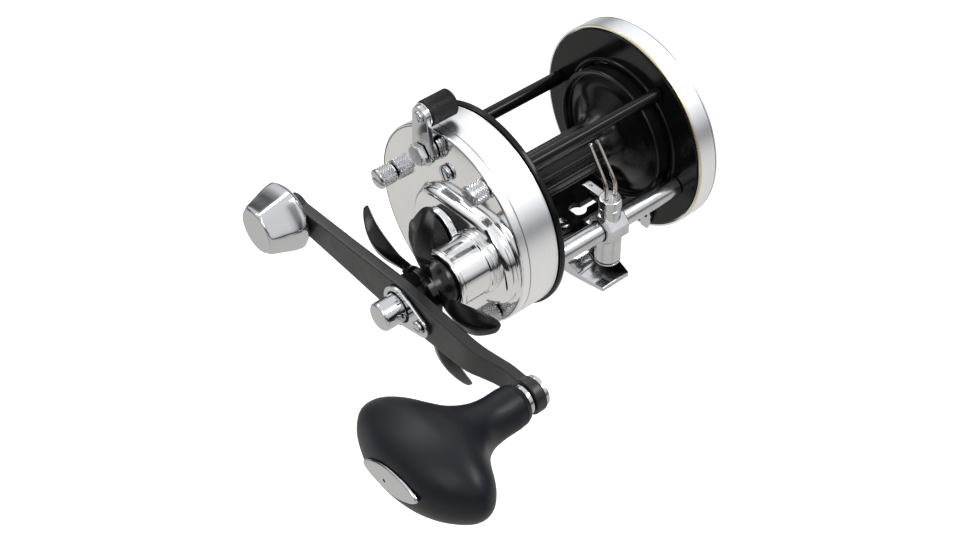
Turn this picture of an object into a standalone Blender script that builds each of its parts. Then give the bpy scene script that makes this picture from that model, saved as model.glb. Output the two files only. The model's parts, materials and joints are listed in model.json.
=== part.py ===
"""A round-plate trolling reel with a level wind, modelled as an assembly of separate parts.

Frame: X is the spool's axis and points to the handle side, +Y is forward, where the line leaves,
+Z is up. The origin is the middle of the foot's flat underside. Drawing numbers are millimetres
and are measured from the spool's axis and from the plane midway between the two side plates.
"""

import math

import bmesh
import bpy
from mathutils import Matrix, Vector

MM = 0.001
GAP = 0.3                      # clearance between touching pieces

# Driving dimensions
SEAT_DEPTH = 29.6              # spool axis above the foot's underside
PLATE_X = 26.2                 # inner face of each side plate
RING_OUT = 27.7                # outer face of the handle-side ring
COVER_R = 31.8                 # polished handle-side cover, outer radius
COVER_X = 41.3                 # its flat outer face
PLATEAU_X = 45.2               # top of its raised gear housing
LEFT_R = 33.6                  # bright rim of the far side
LEFT_X = 33.7                  # where that rim turns into its end face
FLANGE_R = 21.4                # spool flange radius
FLANGE_X = 21.1                # inner edge of the flange rim
RING_BORE = 22.0               # opening of both rings around the flange
ARBOR_R = 7.2
LARGE = 32                     # sides of the largest round pieces

MODULE = 0.54                  # main gear pair
MAIN_TEETH = 48
PINION_TEETH = 12
WIND_MODULE = 0.7              # level-wind gear pair
WIND_TEETH = 18
COG_TEETH = 12
PRESSURE_ANGLE = math.radians(25)

SHAFT_ANGLE = math.radians(-2.0)        # direction from the spool axis to the handle shaft
WIND_ANGLE = math.radians(-40.3)        # direction from the handle shaft to the worm
SHAFT_Y = MODULE * (MAIN_TEETH + PINION_TEETH) / 2 * math.cos(SHAFT_ANGLE)
SHAFT_Z = MODULE * (MAIN_TEETH + PINION_TEETH) / 2 * math.sin(SHAFT_ANGLE)
WORM_Y = SHAFT_Y + WIND_MODULE * (WIND_TEETH + COG_TEETH) / 2 * math.cos(WIND_ANGLE)
WORM_Z = SHAFT_Z + WIND_MODULE * (WIND_TEETH + COG_TEETH) / 2 * math.sin(WIND_ANGLE)
GUIDE_X = 1.0                  # line guide's place along the spool

ARM_X = 70.25                  # middle of the crank arm's thickness from its hub to the counterweight
ARM_THICK = 3.5
GRIP_Y = 64.8                  # grip pin
GRIP_Z = -0.1
GRIP_ARM_X = 67.65             # middle of the arm's thickness at the grip pin
GRIP_ARM_THICK = 3.1
KNOB_Y = -35.5                 # counterweight
KNOB_Z = -1.4

LEVER_Y = -7.9                 # free-spool lever pivot
LEVER_Z = 23.7
ROLLER_Y = -8.3
ROLLER_Z = 36.1
THUMB_SCREWS = {"thumb_screw_rear": (-26.6, 3.1),
                "thumb_screw_front": (15.6, 23.8),
                "thumb_screw_lower": (20.2, -19.6)}

AXIS = (0.0, 0.0)
SHAFT = (SHAFT_Y, SHAFT_Z)
WORM = (WORM_Y, WORM_Z)
COVER_SCREW = (-0.6, 19.3)
DOG_PIVOT = (SHAFT_Y + 2.0, SHAFT_Z - 11.6)
RETAINER_OFFSET = (9.3, -0.8)  # retainer screw from the handle shaft
RETAINER_SCREW = (SHAFT_Y + RETAINER_OFFSET[0], SHAFT_Z + RETAINER_OFFSET[1])

MATERIALS = {
    "black_gloss": ((0.012, 0.012, 0.013), 0.22, 0.0),
    "black_satin": ((0.045, 0.045, 0.048), 0.42, 0.3),
    "black_rubber": ((0.02, 0.02, 0.023), 0.55, 0.0),
    "chrome": ((0.82, 0.83, 0.85), 0.06, 1.0),
    "satin_silver": ((0.78, 0.79, 0.81), 0.28, 1.0),
    "steel": ((0.60, 0.61, 0.63), 0.25, 1.0),
    "brass": ((0.72, 0.53, 0.22), 0.25, 1.0),
    "drag_fibre": ((0.18, 0.13, 0.09), 0.8, 0.0),
    "moulded_black": ((0.03, 0.03, 0.03), 0.5, 0.0),
}


def clear_scene():
    for item in list(bpy.data.objects):
        bpy.data.objects.remove(item, do_unlink=True)


def material(name):
    found = bpy.data.materials.get(name)
    if found:
        return found
    colour, roughness, metallic = MATERIALS[name]
    made = bpy.data.materials.new(name)
    made.use_nodes = True
    shader = made.node_tree.nodes["Principled BSDF"]
    shader.inputs["Base Color"].default_value = (*colour, 1.0)
    shader.inputs["Roughness"].default_value = roughness
    shader.inputs["Metallic"].default_value = metallic
    made.diffuse_color = (*colour, 1.0)
    return made


def finish(name, mesh_data, look, centre=AXIS, x=0.0):
    """Turn a bmesh drawn in millimetres around (x, centre) into an object placed there."""
    bmesh.ops.recalc_face_normals(mesh_data, faces=mesh_data.faces)
    bmesh.ops.scale(mesh_data, vec=(MM, MM, MM), verts=mesh_data.verts)
    mesh = bpy.data.meshes.new(name)
    mesh_data.to_mesh(mesh)
    mesh_data.free()
    mesh.shade_smooth()
    mesh.set_sharp_from_angle(angle=math.radians(32))
    mesh.materials.append(material(look))
    made = bpy.data.objects.new(name, mesh)
    made.location = (x * MM, centre[0] * MM, (centre[1] + SEAT_DEPTH) * MM)
    bpy.context.scene.collection.objects.link(made)
    return made


def helper(made):
    """Mark an object as a cutter or a shape that only joins another."""
    made.hide_render = True
    made.display_type = "WIRE"
    return made


def combine(target, others, operation):
    for other in others:
        helper(other)
        step = target.modifiers.new(operation.lower(), "BOOLEAN")
        step.operation = operation
        step.solver = "EXACT"
        step.object = other
    return target


def cut(target, *cutters):
    return combine(target, cutters, "DIFFERENCE")


def join(target, *others):
    return combine(target, others, "UNION")


# Shape builders. Each draws around its own origin, with X as the axis.

def ring_of(mesh_data, x, radius, segments):
    if radius <= 0:
        return [mesh_data.verts.new((x, 0, 0))]
    return [mesh_data.verts.new((x, y, z)) for y, z in circle(radius, segments)]


def bridge(mesh_data, first, second):
    count = max(len(first), len(second))
    for i in range(count):
        j = (i + 1) % count
        if len(first) == 1:
            mesh_data.faces.new((first[0], second[i], second[j]))
        elif len(second) == 1:
            mesh_data.faces.new((first[i], second[0], first[j]))
        else:
            mesh_data.faces.new((first[i], second[i], second[j], first[j]))


def lathe(profile, segments, bored):
    """Spin (x, radius) points about X; a bored profile closes on itself."""
    mesh_data = bmesh.new()
    rings = [ring_of(mesh_data, x, radius, segments) for x, radius in profile]
    for first, second in zip(rings, rings[1:]):
        bridge(mesh_data, first, second)
    if bored:
        bridge(mesh_data, rings[-1], rings[0])
    return mesh_data


def turned(name, profile, look, centre=AXIS, segments=18):
    """A solid of revolution; its ends are closed by flat discs."""
    ends = [(profile[0][0], 0.0)] + list(profile) + [(profile[-1][0], 0.0)]
    return finish(name, lathe(ends, segments, False), look, centre)


def tube(name, profile, look, centre=AXIS, segments=18):
    """A turned piece with a bore: the profile goes once around its section."""
    return finish(name, lathe(profile, segments, True), look, centre)


def washer(name, x0, x1, outer, inner, look, centre=AXIS, segments=18):
    return tube(name, [(x0, inner), (x0, outer), (x1, outer), (x1, inner)], look, centre, segments)


def rod(name, x0, x1, radius, look="steel", centre=AXIS, segments=12):
    return turned(name, [(x0, radius), (x1, radius)], look, centre, segments)


def stack(sections):
    """Skin a list of equal-length point loops and cap both ends."""
    mesh_data = bmesh.new()
    loops = [[mesh_data.verts.new(point) for point in section] for section in sections]
    for first, second in zip(loops, loops[1:]):
        bridge(mesh_data, first, second)
    mesh_data.faces.new(loops[0])
    mesh_data.faces.new(list(reversed(loops[-1])))
    return mesh_data


def prism(name, outline, x0, x1, look, centre=AXIS):
    """Extrude a (y, z) outline along X."""
    sections = [[(x, y, z) for y, z in outline] for x in (x0, x1)]
    return finish(name, stack(sections), look, centre)


def box(name, low, high, look, centre=AXIS):
    outline = [(low[1], low[2]), (high[1], low[2]), (high[1], high[2]), (low[1], high[2])]
    return prism(name, outline, low[0], high[0], look, centre)


def upright(name, profile, look, x, centre, segments=14):
    """A solid turned about the vertical through (x, centre), from (z, radius) points."""
    ends = [(profile[0][0], 0.0)] + list(profile) + [(profile[-1][0], 0.0)]
    mesh_data = lathe(ends, segments, False)
    bmesh.ops.rotate(mesh_data, matrix=Matrix.Rotation(math.radians(-90), 3, "Y"), verts=mesh_data.verts)
    return finish(name, mesh_data, look, centre, x)


def circle(radius, count, centre=(0.0, 0.0)):
    steps = [2 * math.pi * i / count for i in range(count)]
    return [(centre[0] + radius * math.cos(a), centre[1] + radius * math.sin(a)) for a in steps]


def two_circle_hull(first, r1, second, r2, count):
    """Outline of a belt around two circles, as two arcs."""
    span = Vector(second) - Vector(first)
    heading = math.atan2(span.y, span.x)
    lean = math.acos((r1 - r2) / span.length)
    points = []
    for i in range(count + 1):
        angle = heading + lean + (2 * math.pi - 2 * lean) * i / count
        points.append((first[0] + r1 * math.cos(angle), first[1] + r1 * math.sin(angle)))
    for i in range(count + 1):
        angle = heading - lean + 2 * lean * i / count
        points.append((second[0] + r2 * math.cos(angle), second[1] + r2 * math.sin(angle)))
    return points


def involute(angle):
    return math.tan(angle) - angle


def gear_outline(teeth, module, tooth_at, backlash=0.1):
    """Involute spur outline with a tooth centred on the direction tooth_at."""
    pitch = module * teeth / 2
    base = pitch * math.cos(PRESSURE_ANGLE)
    root = pitch - 1.25 * module
    tip = pitch + 0.95 * module
    half = math.pi / (2 * teeth) - backlash / (2 * pitch) + involute(PRESSURE_ANGLE)
    radii = [root, pitch, tip] if teeth < 20 else [root, tip]
    halves = [half - involute(math.acos(min(1.0, base / max(radius, base)))) for radius in radii]
    side = list(zip(radii, halves))
    points = []
    for i in range(teeth):
        middle = tooth_at + 2 * math.pi * i / teeth
        for radius, lean in side:
            points.append((radius * math.cos(middle - lean), radius * math.sin(middle - lean)))
        for radius, lean in reversed(side):
            points.append((radius * math.cos(middle + lean), radius * math.sin(middle + lean)))
    return points


def saw_outline(teeth, root, tip):
    """Ratchet outline: each tooth climbs slowly and drops at once."""
    points = []
    for i in range(teeth):
        start = 2 * math.pi * i / teeth
        rise = start + 2 * math.pi / teeth * 0.8
        points.append((root * math.cos(start), root * math.sin(start)))
        points.append((tip * math.cos(rise), tip * math.sin(rise)))
    return points


# Frame and side plates

def build_rings():
    tube("left_frame_ring",
         [(-PLATE_X, RING_BORE), (-PLATE_X, 32.2), (-PLATE_X - 0.3, 32.6), (-RING_OUT, 32.6),
          (-RING_OUT, RING_BORE)], "black_gloss", segments=LARGE)
    ring = tube("right_frame_ring",
                [(PLATE_X, RING_BORE), (PLATE_X, 32.4), (PLATE_X + 0.3, 32.7), (RING_OUT - 0.3, 32.7),
                 (RING_OUT, 32.4), (RING_OUT, RING_BORE)], "black_gloss", segments=LARGE)
    cut(ring, rod("worm_hole_in_ring", PLATE_X - 2, RING_OUT + 2, 2.6, centre=WORM))


def build_left_cup():
    cup = tube("left_side_cup",
               [(-26.5, 32.95), (-26.5, LEFT_R), (-LEFT_X + 0.9, LEFT_R), (-LEFT_X, LEFT_R - 0.9),
                (-35.0, 27.0), (-36.0, 14.0), (-36.0, 5.2), (-31.2, 5.2), (-31.2, 6.6), (-34.2, 6.6),
                (-34.2, 11.6), (-28.7, 11.6), (-28.7, 12.9), (-34.1, 12.9), (-33.2, 27.0),
                (-32.3, 31.6), (-28.0, 32.4), (-28.0, 32.95)], "satin_silver", segments=LARGE)
    cut(cup, box("button_slot", (-40, -26, -1.4), (-30, -15, 1.4), "steel"))


def build_left_hub():
    turned("left_hub_cap", [(-36.3, 10.0), (-37.6, 10.0), (-38.4, 8.6), (-38.8, 5.0)], "chrome", segments=32)
    washer("left_bearing", -34.2, -31.6, 4.9, 1.9, "steel")


def plateau_outline(shrink):
    return two_circle_hull((0, 0), 13.4 - shrink, (SHAFT_Y - 0.6, SHAFT_Z), 15.0 - shrink, 14)


def build_gear_cover():
    cup = tube("gear_cover",
               [(28.0, 30.3), (28.0, COVER_R), (COVER_X - 0.8, COVER_R), (COVER_X, COVER_R - 0.8),
                (COVER_X, 5.1), (39.8, 5.1), (39.8, 30.3)], "chrome", segments=LARGE)
    levels = ((40.5, 0.0), (43.4, 0.0), (44.5, 0.6), (PLATEAU_X, 2.2))
    sections = [[(x, y, z) for y, z in plateau_outline(shrink)] for x, shrink in levels]
    plateau = finish("gear_housing_form", stack(sections), "chrome")
    boss = turned("shaft_boss_form",
                  [(44.6, 9.7), (46.4, 9.7), (46.8, 9.0), (57.0, 9.0), (57.4, 8.7)],
                  "chrome", SHAFT, 24)
    cap_seat = turned("cap_seat_form", [(44.6, 7.4), (46.6, 7.4)], "chrome", segments=28)
    dog_stud = rod("dog_stud_form", 37.9, 40.5, 0.6, centre=DOG_PIVOT, segments=10)
    join(cup, plateau, boss, cap_seat, dog_stud)
    shaft_bore = turned("boss_bore_form", [(38.0, 4.0), (51.2, 4.0), (51.2, 7.7), (59.0, 7.7)],
                        "chrome", SHAFT, 24)
    spool_bore = rod("spool_bore_form", 38.0, 48.0, 5.1, segments=18)
    holes = [rod(name + "_hole", 38.0, 43.0, 1.7, centre=at) for name, at in THUMB_SCREWS.items()]
    pivot = rod("lever_pivot_hole", 38.0, 43.0, 2.5, centre=(LEVER_Y, LEVER_Z))
    screw = rod("cover_screw_hole", 38.0, 43.0, 1.6, centre=COVER_SCREW)
    cut(cup, shaft_bore, spool_bore, pivot, screw, *holes)


def build_pillars():
    places = {"front_pillar": (27.1, 56.5, 1.85),
              "rear_pillar": (28.0, 172.0, 2.2),
              "lower_pillar": (28.0, 226.0, 2.2)}
    for name, (reach, angle, radius) in places.items():
        at = (reach * math.cos(math.radians(angle)), reach * math.sin(math.radians(angle)))
        end = PLATE_X - GAP
        turned(name, [(-end, radius - 0.3), (-end + 0.3, radius), (end - 0.3, radius), (end, radius - 0.3)],
               "black_gloss", at, 20)


def foot_section(y, top, width):
    """Four corners of the foot at a place along it, from its flat underside up."""
    low = -SEAT_DEPTH
    return [(-width / 2, y, low), (width / 2, y, low), (width / 2, y, top), (-width / 2, y, top)]


def build_foot():
    steps = ((27.2, -28.2, 10.6), (26.6, -27.7, 11.2), (20.0, -27.7, 13.6), (16.5, -26.3, 14.8),
             (13.0, -24.6, 15.6), (10.0, -24.1, 16.0))
    sections = [foot_section(y, top, width) for y, top, width in steps]
    sections += [foot_section(-y, top, width) for y, top, width in reversed(steps)]
    foot = finish("foot", stack(sections), "chrome")
    bar = box("bottom_crossbar", (-25.9, -13.0, -23.8), (25.9, 5.6, -21.8), "black_gloss")
    for side in (-1, 1):
        hole = upright(f"keyhole_{side}", [(-26, 2.8), (-20, 2.8)], "steel", side * 8.2, (1.1, 0), 20)
        slot = box(f"keyhole_slot_{side}", (8.2 if side > 0 else -16.2, -0.4, -26),
                   (16.2 if side > 0 else -8.2, 2.4, -20), "steel")
        cut(bar, hole, slot)
    for name, y in (("foot_rivet_front", 3.4), ("foot_rivet_rear", -9.4)):
        cut(bar, upright(name + "_hole", [(-26, 1.6), (-20, 1.6)], "steel", 0.0, (y, 0), 16))
        cut(foot, upright(name + "_pocket", [(-28.6, 1.6), (-20, 1.6)], "steel", 0.0, (y, 0), 16))
        upright(name, [(-28.2, 1.3), (-21.5, 1.3), (-21.5, 2.2), (-20.9, 2.2), (-20.5, 1.4)],
                "chrome", 0.0, (y, 0), 16)


def build_clamp_ear():
    """A small plated ear at the foot of the far plate, with a round hole."""
    outline = [(12.6, -30.2), (12.6, -26.0)]
    outline += [(13.8 + 2.6 * math.cos(a), -26.0 + 2.6 * math.sin(a) + 1.2)
                for a in (math.radians(d) for d in (150, 110, 70, 30, -10, -50))]
    ear = prism("clamp_ear", outline, -25.9, -24.7, "chrome")
    cut(ear, rod("ear_hole", -28.0, -22.0, 1.1, centre=(13.9, -25.2)))


def build_level_wind_tube():
    shell = tube("level_wind_tube", [(-25.9, 2.45), (-25.9, 3.1), (25.9, 3.1), (25.9, 2.45)],
                 "chrome", WORM, 24)
    cut(shell, box("pawl_slot", (-22.5, -1.0, -5.0), (22.5, 1.0, 0.0), "steel", WORM))


def build_bridge_plate():
    plate = turned("bridge_plate", [(28.0, 29.8), (29.3, 29.8)], "steel", segments=36)
    posts = [rod(f"yoke_post_{i}", 29.0, 38.2, 0.9, centre=(0.0, z), segments=12)
             for i, z in enumerate((-10.0, 10.0))]
    join(plate, *posts)
    cut(plate, rod("spool_clearance", 26.0, 31.0, 4.6, segments=18),
        rod("worm_clearance", 26.0, 31.0, 2.6, centre=WORM),
        rod("shaft_bush_bore", 26.0, 31.0, 2.7, centre=SHAFT, segments=18))
    washer("right_bearing", 41.0, 43.6, 4.8, 1.9, "steel")


def build_cover_screw():
    screw = turned("cover_screw", [(36.5, 1.3), (41.6, 1.3), (41.6, 2.6), (42.5, 2.6), (42.9, 1.8)],
                   "chrome", COVER_SCREW, 18)
    cut(screw, box("cover_screw_slot", (42.3, -3.5, -0.4), (44.0, 3.5, 0.4), "steel", COVER_SCREW))


# Spool and drive

def build_spool():
    half = [(14.0, ARBOR_R), (17.5, 8.8), (23.6, 16.6), (23.6, 19.6), (FLANGE_X, 20.3), (FLANGE_X, FLANGE_R),
            (26.6, FLANGE_R), (26.6, 19.0), (24.8, 15.0), (24.8, 5.0), (26.6, 5.0), (26.6, 2.0)]
    profile = half + [(-x, r) for x, r in reversed(half)]
    tube("spool", profile, "black_gloss", segments=LARGE)
    turned("spool_shaft", [(-34.6, 1.1), (-34.2, 1.6), (47.8, 1.6), (48.2, 1.1)], "steel", segments=16)
    click = prism("click_gear", saw_outline(20, 6.6, 8.0), -28.2, -27.0, "brass")
    cut(click, rod("click_gear_bore", -30, -25, 2.0))
    holder = washer("brake_holder", -30.8, -28.5, 4.2, 2.0, "steel")
    for side in (-1, 1):
        pin = upright(f"brake_pin_form_{side}", [(3.2 * side, 0.6), (9.2 * side, 0.6)], "steel", -29.7,
                      AXIS, 8)
        join(holder, pin)
        block = upright(f"brake_block_{'upper' if side > 0 else 'lower'}",
                        [(5.6 * side, 1.5), (9.9 * side, 1.5), (10.3 * side, 1.1)],
                        "moulded_black", -29.7, AXIS, 10)
        cut(block, upright(f"brake_bore_{side}", [(4.0 * side, 0.9), (9.5 * side, 0.9)], "steel",
                           -29.7, AXIS, 8))


def build_gears():
    to_pinion = SHAFT_ANGLE + math.pi
    main = prism("main_gear", gear_outline(MAIN_TEETH, MODULE, to_pinion), 31.8, 34.8, "brass", SHAFT)
    wind = prism("level_wind_gear_form", gear_outline(WIND_TEETH, WIND_MODULE, WIND_ANGLE),
                 29.8, 32.4, "brass", SHAFT)
    join(main, wind)
    cut(main, rod("main_gear_bore", 28.0, 37.0, 2.7, centre=SHAFT, segments=18))
    facing = SHAFT_ANGLE + math.pi / PINION_TEETH
    pinion = prism("pinion", gear_outline(PINION_TEETH, MODULE, facing), 31.6, 35.6, "brass")
    neck = turned("pinion_neck_form", [(35.0, 2.2), (37.4, 2.2), (37.4, 3.5), (38.3, 3.5)], "brass",
                  segments=20)
    join(pinion, neck)
    cut(pinion, rod("pinion_bore", 30.0, 40.0, 1.9, segments=16))
    meeting = WIND_ANGLE + math.pi + math.pi / COG_TEETH
    cog = prism("worm_cog", gear_outline(COG_TEETH, WIND_MODULE, meeting), 29.8, 31.4, "brass", WORM)
    cut(cog, rod("worm_cog_bore", 28.0, 33.0, 1.5, centre=WORM))


def build_yoke():
    outline = [(-3.6, -12.4), (3.6, -12.4), (3.6, 12.4), (-3.6, 12.4)]
    yoke = prism("clutch_yoke", outline, 35.95, 37.0, "steel")
    slot = box("yoke_fork", (34.0, -5.0, -2.6), (39.0, 0.0, 2.6), "steel")
    seat = rod("yoke_seat", 34.0, 39.0, 2.6, segments=20)
    posts = [rod(f"yoke_post_hole_{i}", 34.0, 39.0, 1.3, centre=(0.0, z)) for i, z in enumerate((-10, 10))]
    cut(yoke, slot, seat, *posts)


def build_worm():
    """A shaft with a right-hand and a left-hand groove that cross along its length."""
    segments, steps, start, end, lead = 10, 28, -22.0, 22.0, 11.0
    mesh_data = bmesh.new()
    rings = [ring_of(mesh_data, -25.6, 0, segments), ring_of(mesh_data, -25.6, 1.5, segments),
             ring_of(mesh_data, -22.6, 1.5, segments)]
    for i in range(steps + 1):
        x = start + (end - start) * i / steps
        ring = []
        for k in range(segments):
            angle = 2 * math.pi * k / segments
            phase = 2 * math.pi * x / lead
            right = abs(math.remainder(angle - phase, 2 * math.pi))
            left = abs(math.remainder(angle + phase, 2 * math.pi))
            radius = 1.55 if min(right, left) < 0.5 else 2.0
            ring.append(mesh_data.verts.new((x, radius * math.cos(angle), radius * math.sin(angle))))
        rings.append(ring)
    rings += [ring_of(mesh_data, 22.6, 1.5, segments), ring_of(mesh_data, 29.3, 1.5, segments),
              ring_of(mesh_data, 29.3, 1.2, segments), ring_of(mesh_data, 31.5, 1.2, segments),
              ring_of(mesh_data, 31.5, 0, segments)]
    for first, second in zip(rings, rings[1:]):
        bridge(mesh_data, first, second)
    finish("worm_shaft", mesh_data, "steel", WORM)


def build_carriage():
    """The level-wind block: a sleeve round the tube, a capped post above and the pawl holder below."""
    at = (WORM_Y, WORM_Z)
    sleeve = tube("line_guide", [(-4.2, 3.45), (-4.2, 4.5), (-3.6, 5.1), (3.6, 5.1), (4.2, 4.5), (4.2, 3.45)],
                  "chrome", at, 20)
    sleeve.location.x += GUIDE_X * MM
    post = upright("guide_post_form", [(4.2, 3.2), (7.4, 3.2), (7.4, 3.5), (10.6, 3.5), (10.9, 3.1)],
                   "chrome", GUIDE_X, at, 18)
    holder = upright("pawl_holder_form", [(-4.2, 3.9), (-12.4, 3.9)], "chrome", GUIDE_X, at, 18)
    tongue = prism("guide_tongue_form", [(0.0, 8.6), (0.0, 9.8), (-10.2, 9.8), (-11.0, 9.2), (-10.2, 8.6)],
                   GUIDE_X - 1.5, GUIDE_X + 1.5, "chrome", at)
    join(sleeve, post, holder, tongue)
    cut(sleeve, upright("pawl_bore", [(-3.0, 2.6), (-14.0, 2.6)], "steel", GUIDE_X, at, 20),
        upright("tongue_hole", [(8.0, 0.7), (10.6, 0.7)], "steel", GUIDE_X, (WORM_Y - 9.0, WORM_Z), 12))
    for side in (-1, 1):
        cut(sleeve, upright(f"wire_socket_{side}", [(7.6, 0.9), (12.0, 0.9)], "steel",
                            GUIDE_X + 1.8 * side, at, 12))
    upright("pawl", [(-2.45, 0.7), (-5.4, 0.7), (-5.4, 2.3), (-12.2, 2.3)], "steel", GUIDE_X, at, 16)
    upright("pawl_cap", [(-12.7, 3.9), (-13.3, 3.9), (-13.6, 3.4)], "chrome", GUIDE_X, at, 18)


def bent_wire(name, path, radius, look, segments=10):
    """A round wire swept along points, cut square at both ends."""
    mesh_data = bmesh.new()
    points = [Vector(p) for p in path]
    rings = []
    for i, point in enumerate(points):
        ahead = points[min(i + 1, len(points) - 1)] - points[max(i - 1, 0)]
        ahead.normalize()
        across = Vector((1, 0, 0)) - ahead * ahead.x
        across.normalize()
        up = ahead.cross(across)
        ring = []
        for k in range(segments):
            angle = 2 * math.pi * k / segments
            ring.append(mesh_data.verts.new(point + radius * (math.cos(angle) * across + math.sin(angle) * up)))
        rings.append(ring)
    for first, second in zip(rings, rings[1:]):
        bridge(mesh_data, first, second)
    mesh_data.faces.new(rings[0])
    mesh_data.faces.new(list(reversed(rings[-1])))
    return finish(name, mesh_data, look)


def build_guide_wires():
    for name, side in (("guide_wire_left", -1), ("guide_wire_right", 1)):
        foot = Vector((GUIDE_X + 1.8 * side, WORM_Y, WORM_Z + 7.9))
        bend = Vector((GUIDE_X + 1.6 * side, WORM_Y, WORM_Z + 15.6))
        tip = Vector((GUIDE_X + 1.4 * side, WORM_Y - 8.2, WORM_Z + 26.6))
        bent_wire(name, [foot, bend - Vector((0, 0, 1.4)), bend + Vector((0, -0.35, 0.3)),
                         bend + (tip - bend) * 0.14, tip], 0.58, "steel")


# Handle

def arm_step(y):
    """How far, from 0 to 1, the crank arm has stepped towards the reel on its way to the grip."""
    way = min(max((y - 42.0) / 16.0, 0.0), 1.0)
    return way * way * (3 - 2 * way)


def between(stations, y):
    """A value read off straight lines between (y, value) stations."""
    for (y0, v0), (y1, v1) in zip(stations[:-1], stations[1:]):
        if y <= y1:
            return v0 + (v1 - v0) * (max(y, y0) - y0) / (y1 - y0)
    return stations[-1][1]


ARM_WIDTHS = ((KNOB_Y, 4.0), (-10.0, 5.15), (SHAFT_Y, 6.6), (44.0, 5.1), (53.0, 3.95), (GRIP_Y, 3.9))
ARM_ENDS = ((KNOB_Y, 5.1), (GRIP_Y, 5.15))


def arm_half_width(y):
    """Half the arm's width: widest at the hub, slimmer outward, with a round eye at each end."""
    half = between(ARM_WIDTHS, y) if KNOB_Y <= y <= GRIP_Y else 0.5
    eyes = [math.sqrt(max(radius ** 2 - (y - pin) ** 2, 0.3)) for pin, radius in ARM_ENDS]
    return max(half, *eyes)


def arm_line(y):
    """Z of the arm's centre line, straight from the counterweight through the shaft to the grip."""
    if y < SHAFT_Y:
        return SHAFT_Z + (KNOB_Z - SHAFT_Z) * (SHAFT_Y - y) / (SHAFT_Y - KNOB_Y)
    return SHAFT_Z + (GRIP_Z - SHAFT_Z) * (y - SHAFT_Y) / (GRIP_Y - SHAFT_Y)


def build_handle_arm():
    rear = [KNOB_Y + step for step in (-5.05, -4.4, -2.8, 0.0, 2.8, 5.1)]
    front = [GRIP_Y + step for step in (-5.15, -2.8, 0.0, 2.8, 4.4, 5.1)]
    sections = []
    for y in rear + [-20.0, -10.0, 5.0, SHAFT_Y, 30.0, 42.0, 44.5, 47.0, 50.0, 53.0, 55.5, 58.0] + front:
        half = arm_half_width(y)
        x = ARM_X + (GRIP_ARM_X - ARM_X) * arm_step(y)
        t = (ARM_THICK + (GRIP_ARM_THICK - ARM_THICK) * arm_step(y)) / 2
        z = arm_line(y)
        e = min(0.4, half * 0.5)
        sections.append([(x - t, y, z - half + e), (x - t + e, y, z - half), (x + t - e, y, z - half),
                         (x + t, y, z - half + e), (x + t, y, z + half - e), (x + t - e, y, z + half),
                         (x - t + e, y, z + half), (x - t, y, z + half - e)])
    arm = finish("handle_arm", stack(sections), "black_satin")
    cut(arm, rod("arm_hub_bore", 64, 76, 3.0, centre=SHAFT, segments=18),
        rod("arm_grip_bore", 62, 74, 2.3, centre=(GRIP_Y, GRIP_Z)),
        rod("arm_knob_bore", 64, 76, 2.0, centre=(KNOB_Y, KNOB_Z)),
        rod("arm_screw_bore", 60, 76, 1.3, centre=RETAINER_SCREW))


def build_handle_shaft():
    turned("handle_shaft", [(28.2, 2.4), (77.5, 2.4)], "steel", SHAFT, 20)
    washer("fibre_drag_washer", 35.1, 35.7, 10.0, 2.7, "drag_fibre", SHAFT)
    washer("steel_drag_washer", 36.0, 36.6, 9.4, 2.7, "steel", SHAFT)
    tube("drag_spring_washer", [(36.9, 2.7), (37.3, 6.2), (37.7, 6.2), (37.3, 2.7)], "steel", SHAFT, 18)
    ratchet = prism("ratchet", saw_outline(14, 5.6, 6.8), 38.2, 39.3, "steel", SHAFT)
    cut(ratchet, rod("ratchet_bore", 36, 41, 2.7, centre=SHAFT))
    plate_shape = two_circle_hull((0, 0), 6.4, RETAINER_OFFSET, 3.4, 12)
    plate = prism("nut_retainer_plate", plate_shape, 72.4, 73.4, "chrome", SHAFT)
    cut(plate, rod("retainer_hub_hole", 70, 75, 4.9, centre=SHAFT, segments=18),
        rod("retainer_screw_hole", 70, 75, 1.3, centre=RETAINER_SCREW))
    screw = turned("retainer_screw", [(70.0, 1.0), (73.7, 1.0), (73.7, 2.1), (74.3, 2.1), (74.6, 1.5)],
                   "chrome", RETAINER_SCREW, 16)
    cut(screw, box("retainer_slot", (74.2, -3.0, -0.3), (75.5, 3.0, 0.3), "steel", RETAINER_SCREW))
    hexagon = circle(4.5, 6)
    nut = prism("handle_nut", hexagon, 72.5, 75.5, "chrome", SHAFT)
    join(nut, turned("nut_cap_form", [(75.1, 4.35), (79.5, 4.35), (80.1, 3.75)], "chrome", SHAFT, 24))
    cut(nut, rod("nut_thread_bore", 70.0, 77.9, 2.7, centre=SHAFT, segments=20))


KNOB_TURN = math.radians(40)


def knob_section(x, radius, flat):
    """A round section with six flats, each at the distance flat from the axis."""
    points = []
    for i in range(24):
        off = math.remainder(2 * math.pi * i / 24, math.pi / 3)
        reach = min(radius, flat / math.cos(off))
        angle = KNOB_TURN + 2 * math.pi * i / 24
        points.append((x, reach * math.cos(angle), reach * math.sin(angle)))
    return points


def build_counterweight():
    rows = ((72.3, 9.4, 9.4), (72.7, 9.9, 9.5), (73.6, 10.6, 9.8), (75.8, 10.4, 9.4), (79.8, 9.15, 8.25),
            (84.1, 7.55, 6.85), (84.9, 6.75, 6.6))
    sections = [knob_section(*row) for row in rows]
    finish("counterweight_knob", stack(sections), "chrome", (KNOB_Y, KNOB_Z))
    turned("counterweight_rivet", [(67.2, 1.4), (67.6, 2.8), (68.2, 2.8), (68.2, 1.7), (72.0, 1.7)],
           "chrome", (KNOB_Y, KNOB_Z), 20)


GRIP_TILT = math.radians(12.7)


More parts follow.
